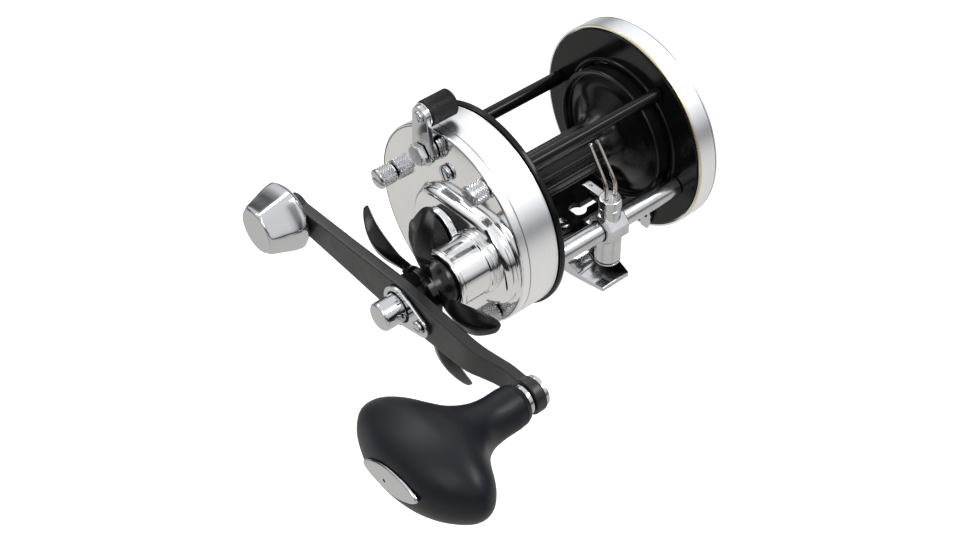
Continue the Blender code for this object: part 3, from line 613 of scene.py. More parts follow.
def build_left_side():
    (x0, x1), _, (_, top) = extent("left_side_cup")
    end = x0 + 2.4
    profile = [(x1, top - 0.65, 0.1), (x1, top, 0.12), (x1 - 0.45, top, 0.0), (x1 - 0.5, top - 0.12, 0.0),
               (x1 - 0.65, top - 0.12, 0.0), (x1 - 0.7, top, 0.0), (end + 0.75, top, 0.1),
               (end + 0.70, top - 0.14, 0), (end + 0.5, top - 0.14, 0), (end + 0.45, top, 0.05),
               (end + 0.1, top, 0.1), (end - 0.25, top - 0.35, 0.3), (end - 0.6, top - 1.8, 0.6),
               (x0 + 1.0, 27.0, 0.6), (x0 + 0.6, 26.2, 0.3), (x0, 14.0, 0.6), (x0, 5.2, 0.1),
               (-31.2, 5.2, 0.1), (-31.2, 6.6, 0.1), (-34.2, 6.6, 0.1), (-34.2, 11.6, 0.1),
               (-28.7, 11.6, 0.1), (-28.7, 12.9, 0.1), (-34.1, 12.9, 0.1), (-33.2, 27.0, 0.5),
               (-32.3, 31.6, 0.3), (-28.0, 32.4, 0.1), (-28.0, top - 0.65, 0.1)]
    cup = solid_object(turned(profile, count=ROUND, bored=True))
    cut(cup, solid_object(block((x0 - 4, -26, -1.4), (-30, -15, 1.4))))
    finish(cup, "left_side_cup", extra=("gold", "groove"))
    paint(cup, 1, lambda x, r: x > x1 - 0.5 and r > top - 0.3)
    # material 2 paints shade into the fine groove beside the gold line: painted shade
    paint(cup, 2, lambda x, r: abs(x - end - 0.6) < 0.12 and r > top - 0.3)
    (x0, x1), _, (_, top) = extent("left_hub_cap")
    cap = solid_object(turned([(x1, top, 0.2), (x1 - 1.1, top, 0.3), (x1 - 1.2, top - 0.5, 0.2),
                               (x1 - 2.1, top - 1.4, 0.5), (x0, top * 0.5, 2.0)], count=ROUND))
    cut(cap, slot_tool(x0 - 2, x0 + 0.9, 4.5, 0.7))
    finish(cap, "left_hub_cap", bevel=0.08)


COVER_FACE = 41.3              # the gear cover's flat face
COVER_WALL = 1.5               # thickness behind that face
COVER_BORE = 5.1               # radius of the hole under the cast control cap
COVER_SIDES = 192
PLATEAU_FILLET = 2.6           # rounding of the gear housing's top edge
PLATEAU_FOOT = 1.1             # hollow fillet where it meets the cover


def housing_outline(offset):
    """The raised gear housing's outline, grown by offset."""
    outline = belt(SPOOL_AXIS, 13.4 + offset, (SHAFT[0] - 0.6, SHAFT[1]), 15.0 + offset, 80)
    return around(outline, COVER_SIDES)


def cover_shell(x0, top, plateau):
    """The cover without its boss: one skin from the bore round the rim and over the gear housing."""
    inside = COVER_FACE - COVER_WALL
    profile = [(inside, COVER_BORE), (inside, 30.3, 0.4), (x0, 30.3, 0.15), (x0, top, 0.3),
               (x0 + 0.35, top, 0.1), (x0 + 0.45, top - 0.12, 0), (x0 + 0.6, top - 0.12, 0),
               (x0 + 0.7, top, 0)]
    profile += [(COVER_FACE - x, top - r, size) for x, r, size in (
        (3.1, 0, 0.1), (3.0, 0.14, 0), (2.8, 0.14, 0), (2.7, 0, 0.1), (0.45, 0, 0.2), (0.12, 0.25, 0.1),
        (0, 0.55, 0), (0.12, 0.6, 0), (0.12, 0.85, 0), (0, 0.9, 0), (0, 1.5, 0))]
    loops = [at_x(x, circle(r, COVER_SIDES)) for x, r in fillet(profile, 0.2, False)]
    turns = [pi / 16 * k for k in range(9)]
    loops += [at_x(COVER_FACE + PLATEAU_FOOT * (1 - cos(a)), housing_outline(PLATEAU_FOOT * (1 - sin(a))))
              for a in turns]
    loops += [at_x(plateau - PLATEAU_FILLET * (1 - sin(a)), housing_outline(-PLATEAU_FILLET * (1 - cos(a))))
              for a in turns]
    loops.append(at_x(plateau, circle(COVER_BORE, COVER_SIDES)))
    mesh = bmesh.new()
    rings = [[mesh.verts.new(point) for point in loop] for loop in loops]
    for first, second in zip(rings, rings[1:] + rings[:1]):
        bridge(mesh, first, second)
    return solid_object(mesh)


def cover_boss(base, plateau, end):
    """The stepped, hollow boss round the handle shaft."""
    outside = [(base, 9.7, 0.1), (plateau + 0.5, 9.7, 0.25), (plateau + 0.6, 9.35, 0.1),
               (plateau + 1.0, 9.35, 0.15), (plateau + 1.15, 9.55, 0.1), (plateau + 1.6, 9.5, 0.25),
               (plateau + 1.9, 9.0, 0.3), (end - 1.5, 9.0, 0.1), (end - 1.4, 8.85, 0), (end - 1.15, 8.85, 0),
               (end - 1.05, 8.95, 0.1), (end, 8.75, 0.5)]
    rim = [(end, 8.1, 0.25), (end - 0.7, 8.0, 0.1), (end - 0.8, 7.7, 0.1)]
    cavity = [(51.2, 7.7, 0.1), (51.2, 4.0, 0.1), (base, 4.0, 0.1)]
    return solid_object(turned(outside + rim + cavity, count=ROUND, bored=True), SHAFT)


def cap_seat(base, plateau):
    profile = [(base, COVER_BORE, 0.1), (base, 7.5, 0.1), (plateau + 0.9, 7.5, 0.2),
               (plateau + 1.2, 7.1, 0.2), (plateau + 1.2, COVER_BORE, 0.1)]
    return solid_object(turned(profile, count=96, bored=True))


def build_gear_cover():
    (x0, boss_end), _, (_, top) = extent("gear_cover")
    plateau = extent("right_bearing")[0][1] + 1.6
    base = plateau - 0.6
    cover = cover_shell(x0, top, plateau)
    boss = cover_boss(base, plateau, boss_end)
    seat = cap_seat(base, plateau)
    cut(cover, rod(38, plateau + 2, 4.0, SHAFT))
    joined(cover, boss, seat)
    screws = [rod(38, 43, 1.7, axis_of(name)) for name in THUMB_SCREWS]
    cut(cover, rod(38, 43, 2.5, LEVER), rod(38, 43, 1.6, axis_of("cover_screw")), *screws)
    finish(cover, "gear_cover", "cover", sharp=34, extra=("silver_anodised", "groove"))
    paint(cover, 1, lambda x, r: r > top - 0.6 and x < COVER_FACE - 0.4)
    # material 2 paints shade into the fine groove round the face's border and the groove on the rim: painted
    # shade
    paint(cover, 2, lambda x, r: top - 0.95 < r < top - 0.5 and COVER_FACE - 0.2 < x < COVER_FACE - 0.01)
    paint(cover, 2, lambda x, r: abs(x - COVER_FACE + 2.9) < 0.14 and r > top - 0.3)


def build_frame_bars():
    for name in ("front_pillar", "rear_pillar", "lower_pillar"):
        x0, x1, radius = round_extent(name)
        shape = turned([(x0, radius - 0.3, 0.1), (x0 + 0.5, radius, 0.3), (x1 - 0.5, radius, 0.3),
                        (x1, radius - 0.3, 0.1)], 0.2, 64)
        finish(solid_object(shape, axis_of(name)), name)
    x0, x1, radius = round_extent("level_wind_tube")
    tube = solid_object(turned([(x0, radius - 0.65), (x0, radius), (x1, radius), (x1, radius - 0.65)],
                               0.15, 96, True), WORM)
    cut(tube, solid_object(block((-22.5, -1.0, -5.0), (22.5, 1.0, 0.0)), WORM))
    finish(tube, "level_wind_tube", "satin_chrome")


def build_crossbar():
    (x0, x1), (y0, y1), (z0, z1) = extent("bottom_crossbar")
    bar = solid_object(block((x0, y0, z0), (x1, y1, z1)))
    tools = []
    for side in (-1, 1):
        keyhole = upright([(z0 - 2, 2.8), (z1 + 2, 2.8)])
        tools.append(solid_object(keyhole, (1.1, 0.0), side * 8.2))
        low, high = sorted((side * 8.2, side * 16.2))
        tools.append(solid_object(block((low, -0.4, z0 - 2), (high, 2.4, z1 + 2))))
    for name in FOOT_RIVETS:
        hole = upright([(z0 - 2, 1.6), (z1 + 2, 1.6)], count=32)
        tools.append(solid_object(hole, (sum(extent(name)[1]) / 2, 0.0)))
    cut(bar, *tools)
    finish(bar, "bottom_crossbar", bevel=0.3)


def foot_section(y, top, width, base):
    """A foot section: a flat underside and a slightly crowned top."""
    half = width / 2
    count = 12
    points = [(-half, y, base), (half, y, base)]
    for i in range(count + 1):
        a = i / count
        x = half * (1 - 2 * a)
        crown = 0.35 * (1 - (2 * a - 1) ** 2)
        points.append((x, y, top - 0.35 + crown))
    return points


def build_foot():
    _, (_, reach), (base, top) = extent("foot")
    rows = [(0.0, -28.3, 10.2), (0.6, -27.9, 11.0), (7.2, -27.5, 13.8), (10.4, -26.4, 15.0),
            (14.0, -24.6, 15.8), (17.2, -24.1, 16.0), (24.0, -24.1, 16.0)]
    half = [(reach - d, z, w) for d, z, w in smooth_rows(rows, 5)]
    sections = [foot_section(y, z, w, base) for y, z, w in half]
    sections += [foot_section(-y, z, w, base) for y, z, w in reversed(half)]
    foot = solid_object(loft(sections))
    for name in FOOT_RIVETS:
        centre = (sum(extent(name)[1]) / 2, 0.0)
        pocket = upright([(base + 1, 1.6), (top + 2, 1.6)], count=32)
        cut(foot, solid_object(pocket, centre))
        low, high = extent(name)[2]
        rivet = upright([(low, 1.3, 0.1), (-21.5, 1.3, 0.05), (-21.5, 2.2, 0.15), (-20.9, 2.2, 0.5),
                         (high, 1.2, 0.6)], 0.1)
        finish(solid_object(rivet, centre), name)
    finish(foot, "foot", bevel=0.35)


def build_clamp_ear():
    (x0, x1), (y0, y1), (z0, z1) = extent("clamp_ear")
    middle, bend = (y0 + y1) / 2, z1 - 2.5
    turns = [pi * i / 24 for i in range(25)]
    outline = [(middle + 2.45 * cos(a), bend + 2.45 * sin(a)) for a in turns]
    outline += [(middle - 1.5, z0), (middle + 1.2, z0)]
    ear = solid_object(slab(outline, x0, x1, 0.2))
    cut(ear, rod(x0 - 2, x1 + 2, 1.1, (middle, bend)))
    finish(ear, "clamp_ear", bevel=0.12)


# Spool

ARBOR_RIBS = 12


def build_spool():
    (_, x1), _, (_, rim) = extent("spool")
    half = [(13.5, 7.2, 3.0), (17.5, 8.8, 2.4), (22.2, 16.2, 1.2), (22.9, 19.8, 0.4), (21.4, 20.2, 0.3),
            (21.1, rim - 0.35, 0.2), (21.5, rim, 0.2), (x1, rim, 0.3), (x1, 19.0, 0.3), (24.8, 15.0, 0.6),
            (24.8, 5.0, 0.2), (x1, 5.0, 0.2), (x1, 2.0, 0.1)]
    profile = half + [(-p[0], *p[1:]) for p in reversed(half)]
    spool = solid_object(turned(profile, count=ROUND, bored=True))
    ribs = []
    for i in range(ARBOR_RIBS):
        a = 2 * pi * i / ARBOR_RIBS
        ribs.append(rod(-16.5, 16.5, 0.8, (6.9 * cos(a), 6.9 * sin(a)), 16))
    joined(spool, *ribs)
    finish(spool, "spool", "spool")


# Level wind

def build_carriage():
    half_length, flat, octagon = 4.2, 4.75, 8
    sections = []
    for x, scale in ((-half_length, 0.86), (0.7 - half_length, 1.0), (half_length - 0.7, 1.0),
                     (half_length, 0.86)):
        sections.append(at_x(x, circle(flat * scale / cos(pi / octagon), octagon, pi / octagon)))
    body = solid_object(loft(sections), WORM, GUIDE_X)
    post = upright([(2.0, 3.3, 0.1), (7.2, 3.3, 0.3), (7.4, 3.0, 0.1), (7.7, 3.0, 0.1), (7.9, 3.5, 0.2),
                    (10.6, 3.5, 0.3), (10.9, 3.1, 0.2)], 0.2, 64)
    holder = upright([(-2.0, 3.9, 0.2), (-12.2, 3.9, 0.3), (-12.4, 3.6, 0.2)], 0.2, 64)
    joined(body, solid_object(post, WORM, GUIDE_X), solid_object(holder, WORM, GUIDE_X))
    tongue = slab([(-1.0, 8.7), (-1.0, 9.7), (-9.6, 9.9), (-10.9, 9.4), (-9.6, 8.8)], -1.4, 1.4, 0.18)
    joined(body, solid_object(tongue, WORM, GUIDE_X))
    bore = upright([(-3.0, 2.6), (-14.0, 2.6)])
    eye = upright([(8.0, 0.6), (11.0, 0.6)], count=24)
    sockets = [solid_object(upright([(7.6, 0.75), (12.0, 0.75)], count=24), WORM, GUIDE_X + x)
               for x in (-1.8, 1.8)]
    cut(body, rod(-6, 6, 3.45, WORM, 96, GUIDE_X), solid_object(bore, WORM, GUIDE_X),
        solid_object(eye, (WORM[0] - 8.4, WORM[1]), GUIDE_X), *sockets)
    finish(body, "line_guide", "satin_chrome", bevel=0.15)
    cap = upright([(-12.7, 3.9, 0.1), (-13.3, 3.9, 0.3), (-13.6, 3.2, 0.2)], 0.2, 64)
    finish(solid_object(cap, WORM, GUIDE_X), "pawl_cap", "satin_chrome")


def wire(path, radius, count=20):
    """A round wire swept along points that never run along X, with a narrowed tip."""
    points = [Vector(p) for p in path]
    turns = [2 * pi * k / count for k in range(count)]
    sections = []
    for i, point in enumerate(points):
        ahead = (points[min(i + 1, len(points) - 1)] - points[max(i - 1, 0)]).normalized()
        across = (Vector((1, 0, 0)) - ahead * ahead.x).normalized()
        up = ahead.cross(across)
        reach = radius * (0.72 if i == len(points) - 1 else 1.0)
        sections.append([point + reach * (cos(a) * across + sin(a) * up) for a in turns])
    return loft(sections)


def build_guide_wires():
    for name, side in (("guide_wire_left", -1), ("guide_wire_right", 1)):
        _, (tip_y, _), (_, tip_z) = extent(name)
        y, z = tip_y - WORM[0], tip_z - WORM[1]
        rows = [(1.8, 0.0, 7.9), (1.8, 0.0, 11.0), (1.75, 0.0, 14.0), (1.7, -0.5, 16.0), (1.6, -2.2, 18.6),
                (1.45, y + 1.6, z - 1.9), (1.3, y + 0.9, z - 0.9), (0.95, y + 0.65, z - 0.6)]
        path = [(side * x, y, z) for x, y, z in smooth_rows(rows, 6)]
        finish(solid_object(wire(path, 0.58), WORM, GUIDE_X), name, "wire")


# Handle

def ease(value):
    value = min(max(value, 0.0), 1.0)
    return value * value * (3 - 2 * value)


ARM_X = 70.25                  # middle of the arm's thickness from its hub to the counterweight
ARM_THICK = 3.5
GRIP_ARM_X = 67.65             # and at the grip
GRIP_ARM_THICK = 3.1
ARM_WIDTHS = ((KNOB[0], 4.0), (-10.0, 5.15), (SHAFT[0], 6.6), (40.0, 5.35), (44.0, 5.05), (48.0, 4.4),
              (53.0, 3.95), (GRIP[0], 3.9))
ARM_ENDS = ((KNOB[0], 5.1), (GRIP[0], 5.15))


def between(stations, y):
    """A value read off straight lines between (y, value) stations."""
    for (y0, v0), (y1, v1) in zip(stations[:-1], stations[1:]):
        if y <= y1:
            return v0 + (v1 - v0) * (max(y, y0) - y0) / (y1 - y0)
    return stations[-1][1]


def arm_half_width(y):
    """Half the arm's width: widest at the hub, with a round eye at each end."""
    half = between(ARM_WIDTHS, y) if KNOB[0] <= y <= GRIP[0] else 0.4
    eyes = [sqrt(max(radius ** 2 - (y - pin) ** 2, 0.2)) for pin, radius in ARM_ENDS]
    return max(half, *eyes)


def arm_line(y):
    if y < SHAFT[0]:
        return SHAFT[1] + (KNOB[1] - SHAFT[1]) * (SHAFT[0] - y) / (SHAFT[0] - KNOB[0])
    return SHAFT[1] + (GRIP[1] - SHAFT[1]) * (y - SHAFT[0]) / (GRIP[0] - SHAFT[0])


def build_arm():
    _, (y0, y1), _ = extent("handle_arm")
    count = 150
    sections = []
    for i in range(count + 1):
        share = 0.5 - 0.5 * cos(pi * i / count)
        share = 0.55 * share + 0.45 * i / count
        y = y0 + 0.05 + (y1 - y0 - 0.1) * share
        half = arm_half_width(y)
        step = ease((y - 42.0) / 16.0)
        x = ARM_X + (GRIP_ARM_X - ARM_X) * step
        t = (ARM_THICK + (GRIP_ARM_THICK - ARM_THICK) * step) / 2
        z = arm_line(y)
        outline = fillet([(x - t, z - half), (x + t, z - half), (x + t, z + half), (x - t, z + half)],
                         min(0.5, half * 0.6), True, 3)
        sections.append([(px, y, pz) for px, pz in outline])
    arm = solid_object(loft(sections))
    cut(arm, rod(60, 76, 3.0, SHAFT), rod(58, 74, 2.3, GRIP), rod(58, 76, 2.0, KNOB),
        rod(60, 76, 1.3, axis_of("retainer_screw")))
    finish(arm, "handle_arm", sharp=40)


def build_shaft_end():
    x0, x1 = extent("nut_retainer_plate")[0]
    screw = axis_of("retainer_screw")
    offset = (screw[0] - SHAFT[0], screw[1] - SHAFT[1])
    plate = solid_object(slab(belt((0, 0), 6.4, offset, 3.4, 48), x0, x1, 0.3), SHAFT)
    cut(plate, rod(x0 - 2, x1 + 2, 4.9, SHAFT), rod(x0 - 2, x1 + 2, 1.3, screw))
    finish(plate, "nut_retainer_plate", bevel=0.12)
    x0, x1 = extent("retainer_screw")[0]
    head = solid_object(turned([(x0, 1.0, 0.2), (x1 - 0.9, 1.0, 0.05), (x1 - 0.9, 2.1, 0.1),
                                (x1 - 0.4, 2.1, 0.3), (x1, 1.2, 0.5)], 0.1, 48), screw)
    cut(head, slot_tool(x1 - 0.35, x1 + 1, 3.0, 0.28, screw))
    finish(head, "retainer_screw", bevel=0.06)
    x0, x1 = extent("handle_nut")[0]
    nut = hexagon(4.5, x0, x0 + 3.2, 0.1, [(x0 - 1, 6.5), (x0 + 2.3, 5.2), (x0 + 3.4, 3.6)], SHAFT)
    cap = turned([(x0 + 1.0, 4.3, 0.1), (x1 - 0.6, 4.3, 0.25), (x1, 3.75, 0.25)], 0.2, 96)
    joined(nut, solid_object(cap, SHAFT))
    cut(nut, rod(x0 - 2, x1 - 1.6, 2.7, SHAFT))
    finish(nut, "handle_nut", bevel=0.1)


KNOB_TURN = radians(40)
KNOB_CREASE = 40.0             # how sharply the flats meet the round parts between them
KNOB_ROWS = ((0.0, 9.3, 9.4), (0.35, 9.75, 9.5), (0.9, 10.3, 9.7), (1.6, 10.65, 9.75), (3.5, 10.45, 9.4),
             (5.6, 9.9, 8.85), (7.6, 9.2, 8.25), (9.8, 8.5, 7.6), (11.2, 8.0, 7.15), (11.9, 7.6, 6.85))


def build_counterweight():
    x0, x1 = extent("counterweight_knob")[0]
    count = 144
    sections = []
    for depth, radius, flat in smooth_rows(KNOB_ROWS, 5):
        section = []
        for i in range(count):
            a = 2 * pi * (i + 0.5) / count
            facet = flat / cos(remainder(a, pi / 3))
            reach = (radius ** -KNOB_CREASE + facet ** -KNOB_CREASE) ** (-1 / KNOB_CREASE)
            section.append((x0 + depth, reach * cos(a + KNOB_TURN), reach * sin(a + KNOB_TURN)))
        sections.append(section)
    for back, radius in ((0.45, 7.1), (0.15, 6.85), (0.02, 6.5), (0.0, 6.1), (0.12, 5.7)):
        outline = [(y * radius / hypot(y, z), z * radius / hypot(y, z)) for _, y, z in sections[0]]
        sections.append(at_x(x1 - back, outline))
    finish(solid_object(loft(sections), KNOB), "counterweight_knob", sharp=32)
    x0, x1 = extent("counterweight_rivet")[0]
    rivet = turned([(x0, 1.2, 0.3), (x0 + 0.4, 2.8, 0.3), (x0 + 1.0, 2.8, 0.1), (x0 + 1.0, 1.7, 0.05),
                    (x1, 1.7, 0.1)], 0.1, 64)
    finish(solid_object(rivet, KNOB), "counterweight_rivet")


GRIP_TILT = radians(12.7)


def grip_section(x, long_half, short_half, lift, count=96, power=0.93):
    """An oval section whose long side is tilted from the arm's direction, above the pin's axis."""
    points = []
    for i in range(count):
        a = 2 * pi * i / count
        along = long_half * copysign(abs(cos(a)) ** power, cos(a))
        across = short_half * copysign(abs(sin(a)) ** power, sin(a))
        y = along * cos(GRIP_TILT) - across * sin(GRIP_TILT)
        z = along * sin(GRIP_TILT) + across * cos(GRIP_TILT)
        points.append((x, y + 0.3 * lift, z + lift))
    return points


GRIP_COLLAR = ((71.2, 4.9, 4.9, 0.0), (71.4, 5.15, 5.15, 0.0), (72.9, 5.75, 5.75, 0.0),
               (73.0, 5.62, 5.62, 0.0), (73.2, 5.62, 5.62, 0.0), (73.3, 5.8, 5.8, 0.0))
GRIP_ROWS = ((75.5, 6.0, 6.0, 0.0), (80.5, 5.95, 6.1, 0.0), (84.5, 6.5, 6.7, 0.3), (88.0, 8.4, 7.5, 0.7),
             (91.0, 11.4, 8.5, 1.1), (94.0, 15.7, 10.1, 1.55), (97.5, 21.3, 12.1, 1.9),
             (101.3, 24.9, 13.3, 2.0), (105.2, 25.05, 13.0, 2.0), (109.0, 21.2, 11.4, 2.0),
             (111.4, 16.8, 9.6, 2.0), (113.0, 12.8, 7.4, 2.0), (113.8, 9.6, 5.2, 2.0))


def build_grip():
    rows = list(GRIP_COLLAR) + smooth_rows(GRIP_ROWS, 5)
    grip = solid_object(loft([grip_section(*row) for row in rows]), GRIP)
    cut(grip, rod(68, 101, 2.4, GRIP))
    finish(grip, "power_grip", sharp=50)
    x0, x1 = extent("grip_badge")[0]
    rows = ((x0 - 0.1, 11.2, 4.5), (x0 + 0.2, 11.3, 4.6), (x1 - 0.15, 11.0, 4.35), (x1, 10.4, 3.9))
    badge = solid_object(loft([grip_section(x, a, b, 2.5, 96, 1.25) for x, a, b in rows]), GRIP)
    cut(badge, rod(x0 - 1, x1 + 1, 0.5, (GRIP[0] - 1.2, GRIP[1] + 1.4), 24))
    finish(badge, "grip_badge", sharp=50)
    x0, x1, radius = round_extent("grip_ferrule")
    ferrule = turned([(x0, 2.3, 0.1), (x0, radius - 0.15, 0.15), (x0 + 0.2, radius, 0.1),
                      (x1 - 0.1, radius, 0.1), (x1, radius - 0.1, 0.1), (x1, 2.3, 0.1)], 0.1, 96, True)
    finish(solid_object(ferrule, GRIP), "grip_ferrule")
    x0, x1 = extent("grip_pin")[0]
    pin = solid_object(turned([(x0, 3.9, 0.2), (x0 + 0.3, 4.5, 0.2), (x0 + 1.4, 4.5, 0.15),
                               (x0 + 1.4, 2.0, 0.05), (x1, 2.0, 0.2)], 0.1, 64), GRIP)
    cut(pin, slot_tool(x0 - 1, x0 + 0.7, 6.0, 0.65, GRIP, 54))
    finish(pin, "grip_pin", "chrome_plate", bevel=0.08)


STAR_FIRST = radians(87)
BLADE_ROWS = ((5.0, 2.1, 62.6), (9.0, 2.5, 63.7), (12.0, 3.1, 64.7), (15.5, 4.4, 65.4),
              (19.0, 5.0, 65.6), (23.0, 4.8, 65.1), (26.5, 3.85, 63.9), (29.0, 2.75, 62.75),
              (30.2, 1.6, 62.1), (30.6, 0.8, 61.95))


def blade_section(reach, half, x, angle):
    """A leaf's cross-section: a raised ridge off its middle and hollow flanks."""
    side = Vector((0.0, -sin(angle), cos(angle)))
    ahead = Vector((1.0, 0.0, 0.0))
    at = Vector((x, reach * cos(angle), reach * sin(angle)))
    thick = 0.5 + 0.26 * half
    face = [(1.0, -0.05), (0.8, 0.25), (0.45, 0.55), (0.12, 0.95), (-0.12, 0.95), (-0.45, 0.55), (-0.8, 0.25),
            (-1.0, -0.05), (-0.8, -0.45), (-0.35, -0.85), (0.35, -0.85), (0.8, -0.45)]
    return [at + side * half * s + ahead * thick * h for s, h in face]


def build_star():
    hub = [(51.8, 5.2, 0.2), (51.8, 7.3, 0.3), (59.2, 7.3, 0.5), (60.8, 6.4, 0.5), (63.9, 6.0, 0.2),
           (64.0, 8.2, 0.2), (66.3, 8.2, 0.3), (66.4, 5.2, 0.2)]
    star = solid_object(turned(hub, 0.2, 96), SHAFT)
    blades = []
    for i in range(5):
        angle = STAR_FIRST + 2 * pi * i / 5
        sections = [blade_section(*row, angle) for row in smooth_rows(BLADE_ROWS, 3)]
        blades.append(solid_object(loft(sections), SHAFT))
    joined(star, *blades)
    notches = []
    for i in range(8):
        tool = solid_object(block((64.5, 6.9, -1.3), (68.0, 10.0, 1.3)), SHAFT)
        tool.rotation_euler.x = 2 * pi * (i + 0.5) / 8
        notches.append(tool)
    cut(star, *notches, rod(48, 68, 2.8, SHAFT))
    finish(star, "star_drag", "black_star", sharp=42, bevel=0.12)


# Controls

def knurled(profile, depth, teeth, pitch, knurl_from, knurl_to):
    """A solid turned piece with a diamond knurl between two places along X."""
    per = 4
    mesh = bmesh.new()
    ends = [(profile[0][0], 0.0)] + list(profile) + [(profile[-1][0], 0.0)]
    points = fillet(ends, 0.15, False, 3)
    dense = []
    for (xa, ra), (xb, rb) in zip(points, points[1:]):
        length = hypot(xb - xa, rb - ra)
        inside = xb > knurl_from and xa < knurl_to and abs(rb - ra) < 0.05
        steps = max(1, round(length / (pitch / per))) if inside else 1
        dense += [(xa + (xb - xa) * k / steps, ra + (rb - ra) * k / steps) for k in range(steps)]
    dense.append(points[-1])
    count = teeth * per
    loops = []
    for x, radius in dense:
        if radius <= 0:
            loops.append([mesh.verts.new((x, 0, 0))])
            continue
        loop = []
        for i in range(count):
            a = 2 * pi * i / count
            reach = radius
            if knurl_from <= x <= knurl_to:
                u, v = i / per, x / pitch
                first = abs(remainder(u + v, 1.0)) * 2
                second = abs(remainder(u - v, 1.0)) * 2
                reach -= depth * (1 - min(first, second, 0.7) / 0.7)
            loop.append(mesh.verts.new((x, reach * cos(a), reach * sin(a))))
        loops.append(loop)
    for first, second in zip(loops, loops[1:]):
        bridge(mesh, first, second)
    return mesh


def build_thumb_screws():
    for name in THUMB_SCREWS:
        x0, x1, radius = round_extent(name)
        centre = axis_of(name)
        profile = [(x0, 1.4, 0.1), (41.6, 1.4, 0.05), (41.6, 2.6, 0.1), (42.0, radius, 0.15),
                   (x1 - 0.5, radius, 0.15), (x1, radius - 0.7, 0.2)]
        screw = solid_object(knurled(profile, 0.34, 22, 0.9, 42.2, x1 - 1.3), centre)
        cut(screw, slot_tool(x1 - 0.8, x1 + 1, 4.0, 0.5, centre))
        finish(screw, name, sharp=25)


def build_cover_screw():
    x0, x1 = extent("cover_screw")[0]
    centre = axis_of("cover_screw")
    profile = [(x0, 1.3, 0.1), (x1 - 1.3, 1.3, 0.05), (x1 - 1.3, 2.6, 0.15), (x1 - 0.5, 2.6, 0.3),
               (x1, 1.8, 0.6)]
    screw = solid_object(turned(profile, 0.1, 64), centre)
    cut(screw, slot_tool(x1 - 0.65, x1 + 1, 3.5, 0.4, centre, -63))
    finish(screw, "cover_screw", bevel=0.06)


def build_lever():
    x0, x1 = extent("free_spool_lever")[0]
    offset = (ROLLER[0] - LEVER[0], ROLLER[1] - LEVER[1])
    plate = solid_object(slab(belt((0, 0), 4.3, offset, 3.3, 48), 43.0, 44.6, 0.25), LEVER)
    collar = turned([(38.6, 2.2, 0.1), (41.6, 2.2, 0.05), (41.6, 4.0, 0.2), (42.2, 4.0, 0.1),
                     (42.3, 3.6, 0.05), (42.5, 3.6, 0.05), (42.6, 4.0, 0.1), (43.3, 4.0, 0.1)], 0.1, 64)
    cam = slab(belt((0, 0), 2.9, (0, -3.2), 1.6, 24), 38.5, 39.4, 0.15)
    rivet = turned([(x0, 1.1, 0.1), (44.0, 1.1, 0.05), (44.0, 1.9, 0.05), (x1 - 0.4, 1.9, 0.3),
                    (x1, 1.2, 0.4)], 0.1, 48)
    washer = turned([(42.85, 3.7, 0.1), (43.3, 3.7, 0.1)], 0.1, 64)
    joined(plate, solid_object(collar, LEVER), solid_object(cam, LEVER), solid_object(rivet, ROLLER),
           solid_object(washer, ROLLER))
    finish(plate, "free_spool_lever", bevel=0.06)
    x0, x1 = extent("lever_pivot_nut")[0]
    nut = hexagon(3.5, x0, x1, 0.12, [(x0 - 1, 6.0), (x0 + 1.2, 4.4), (x1 + 0.1, 2.6)], LEVER)
    nut.rotation_euler.x = radians(12)
    finish(nut, "lever_pivot_nut", bevel=0.08)
    x0, x1, radius = round_extent("lever_roller")
    profile = [(x0, radius - 0.5, 0.1), (x0 + 0.4, radius, 0.2), (x1 - 0.4, radius, 0.2),
               (x1, radius - 0.5, 0.2)]
    roller = solid_object(knurled(profile, 0.2, 44, 0.56, x0 + 0.7, x1 - 0.7), ROLLER)
    cut(roller, rod(x0 - 2, x1 + 2, 1.4, ROLLER))
    finish(roller, "lever_roller", sharp=22)


def build_control_cap():
    x0, x1, radius = round_extent("cast_control_cap")
    profile = [(x0, radius - 0.4, 0.1), (x0 + 0.3, radius, 0.2), (x1 - 1.6, radius, 0.3),
               (x1 - 0.9, radius - 0.9, 0.4), (x1 - 0.2, 3.6, 0.4), (x1, 2.4, 0.3)]
    cap = solid_object(knurled(profile, 0.2, 40, 1.2, x0 + 0.5, x1 - 1.8))
    cut(cap, rod(44, 50.4, 4.6))
    finish(cap, "cast_control_cap", sharp=25)


def carry_over():
    """Every CAD node that still shows gets a procedural look by its material slot."""
    for name, node in frame["nodes"].items():
        if node.hide_render:
            continue
        node.data.materials.clear()
        node.data.materials.append(LOOKS[SLOT_OF[name]].material)


# Stage

def build_stage():
    half, height = 6.0, CAD_BOX[0].z - 0.0006
    mesh = bmesh.new()
    corners = ((-half, -half), (half, -half), (half, half), (-half, half))
    mesh.faces.new([mesh.verts.new((x, y, height)) for x, y in corners])
    data = bpy.data.meshes.new("floor")
    mesh.to_mesh(data)
    mesh.free()
    floor = bpy.data.objects.new("floor", data)
    bpy.context.scene.collection.objects.link(floor)
    look = Look("pale_floor", (0.30, 0.30, 0.30), 0.9, 0.0)
    look.vary_colour(look.grain(0.004), 0.99, 1.0)
    look.shader.inputs["Emission Color"].default_value = (1.0, 1.0, 1.0, 1.0)
    to_camera = look.node("ShaderNodeLightPath").outputs["Is Camera Ray"]
    look.feed(look.shader.inputs["Emission Strength"], to_camera)
    floor.data.materials.append(look.material)
    floor.visible_glossy = False


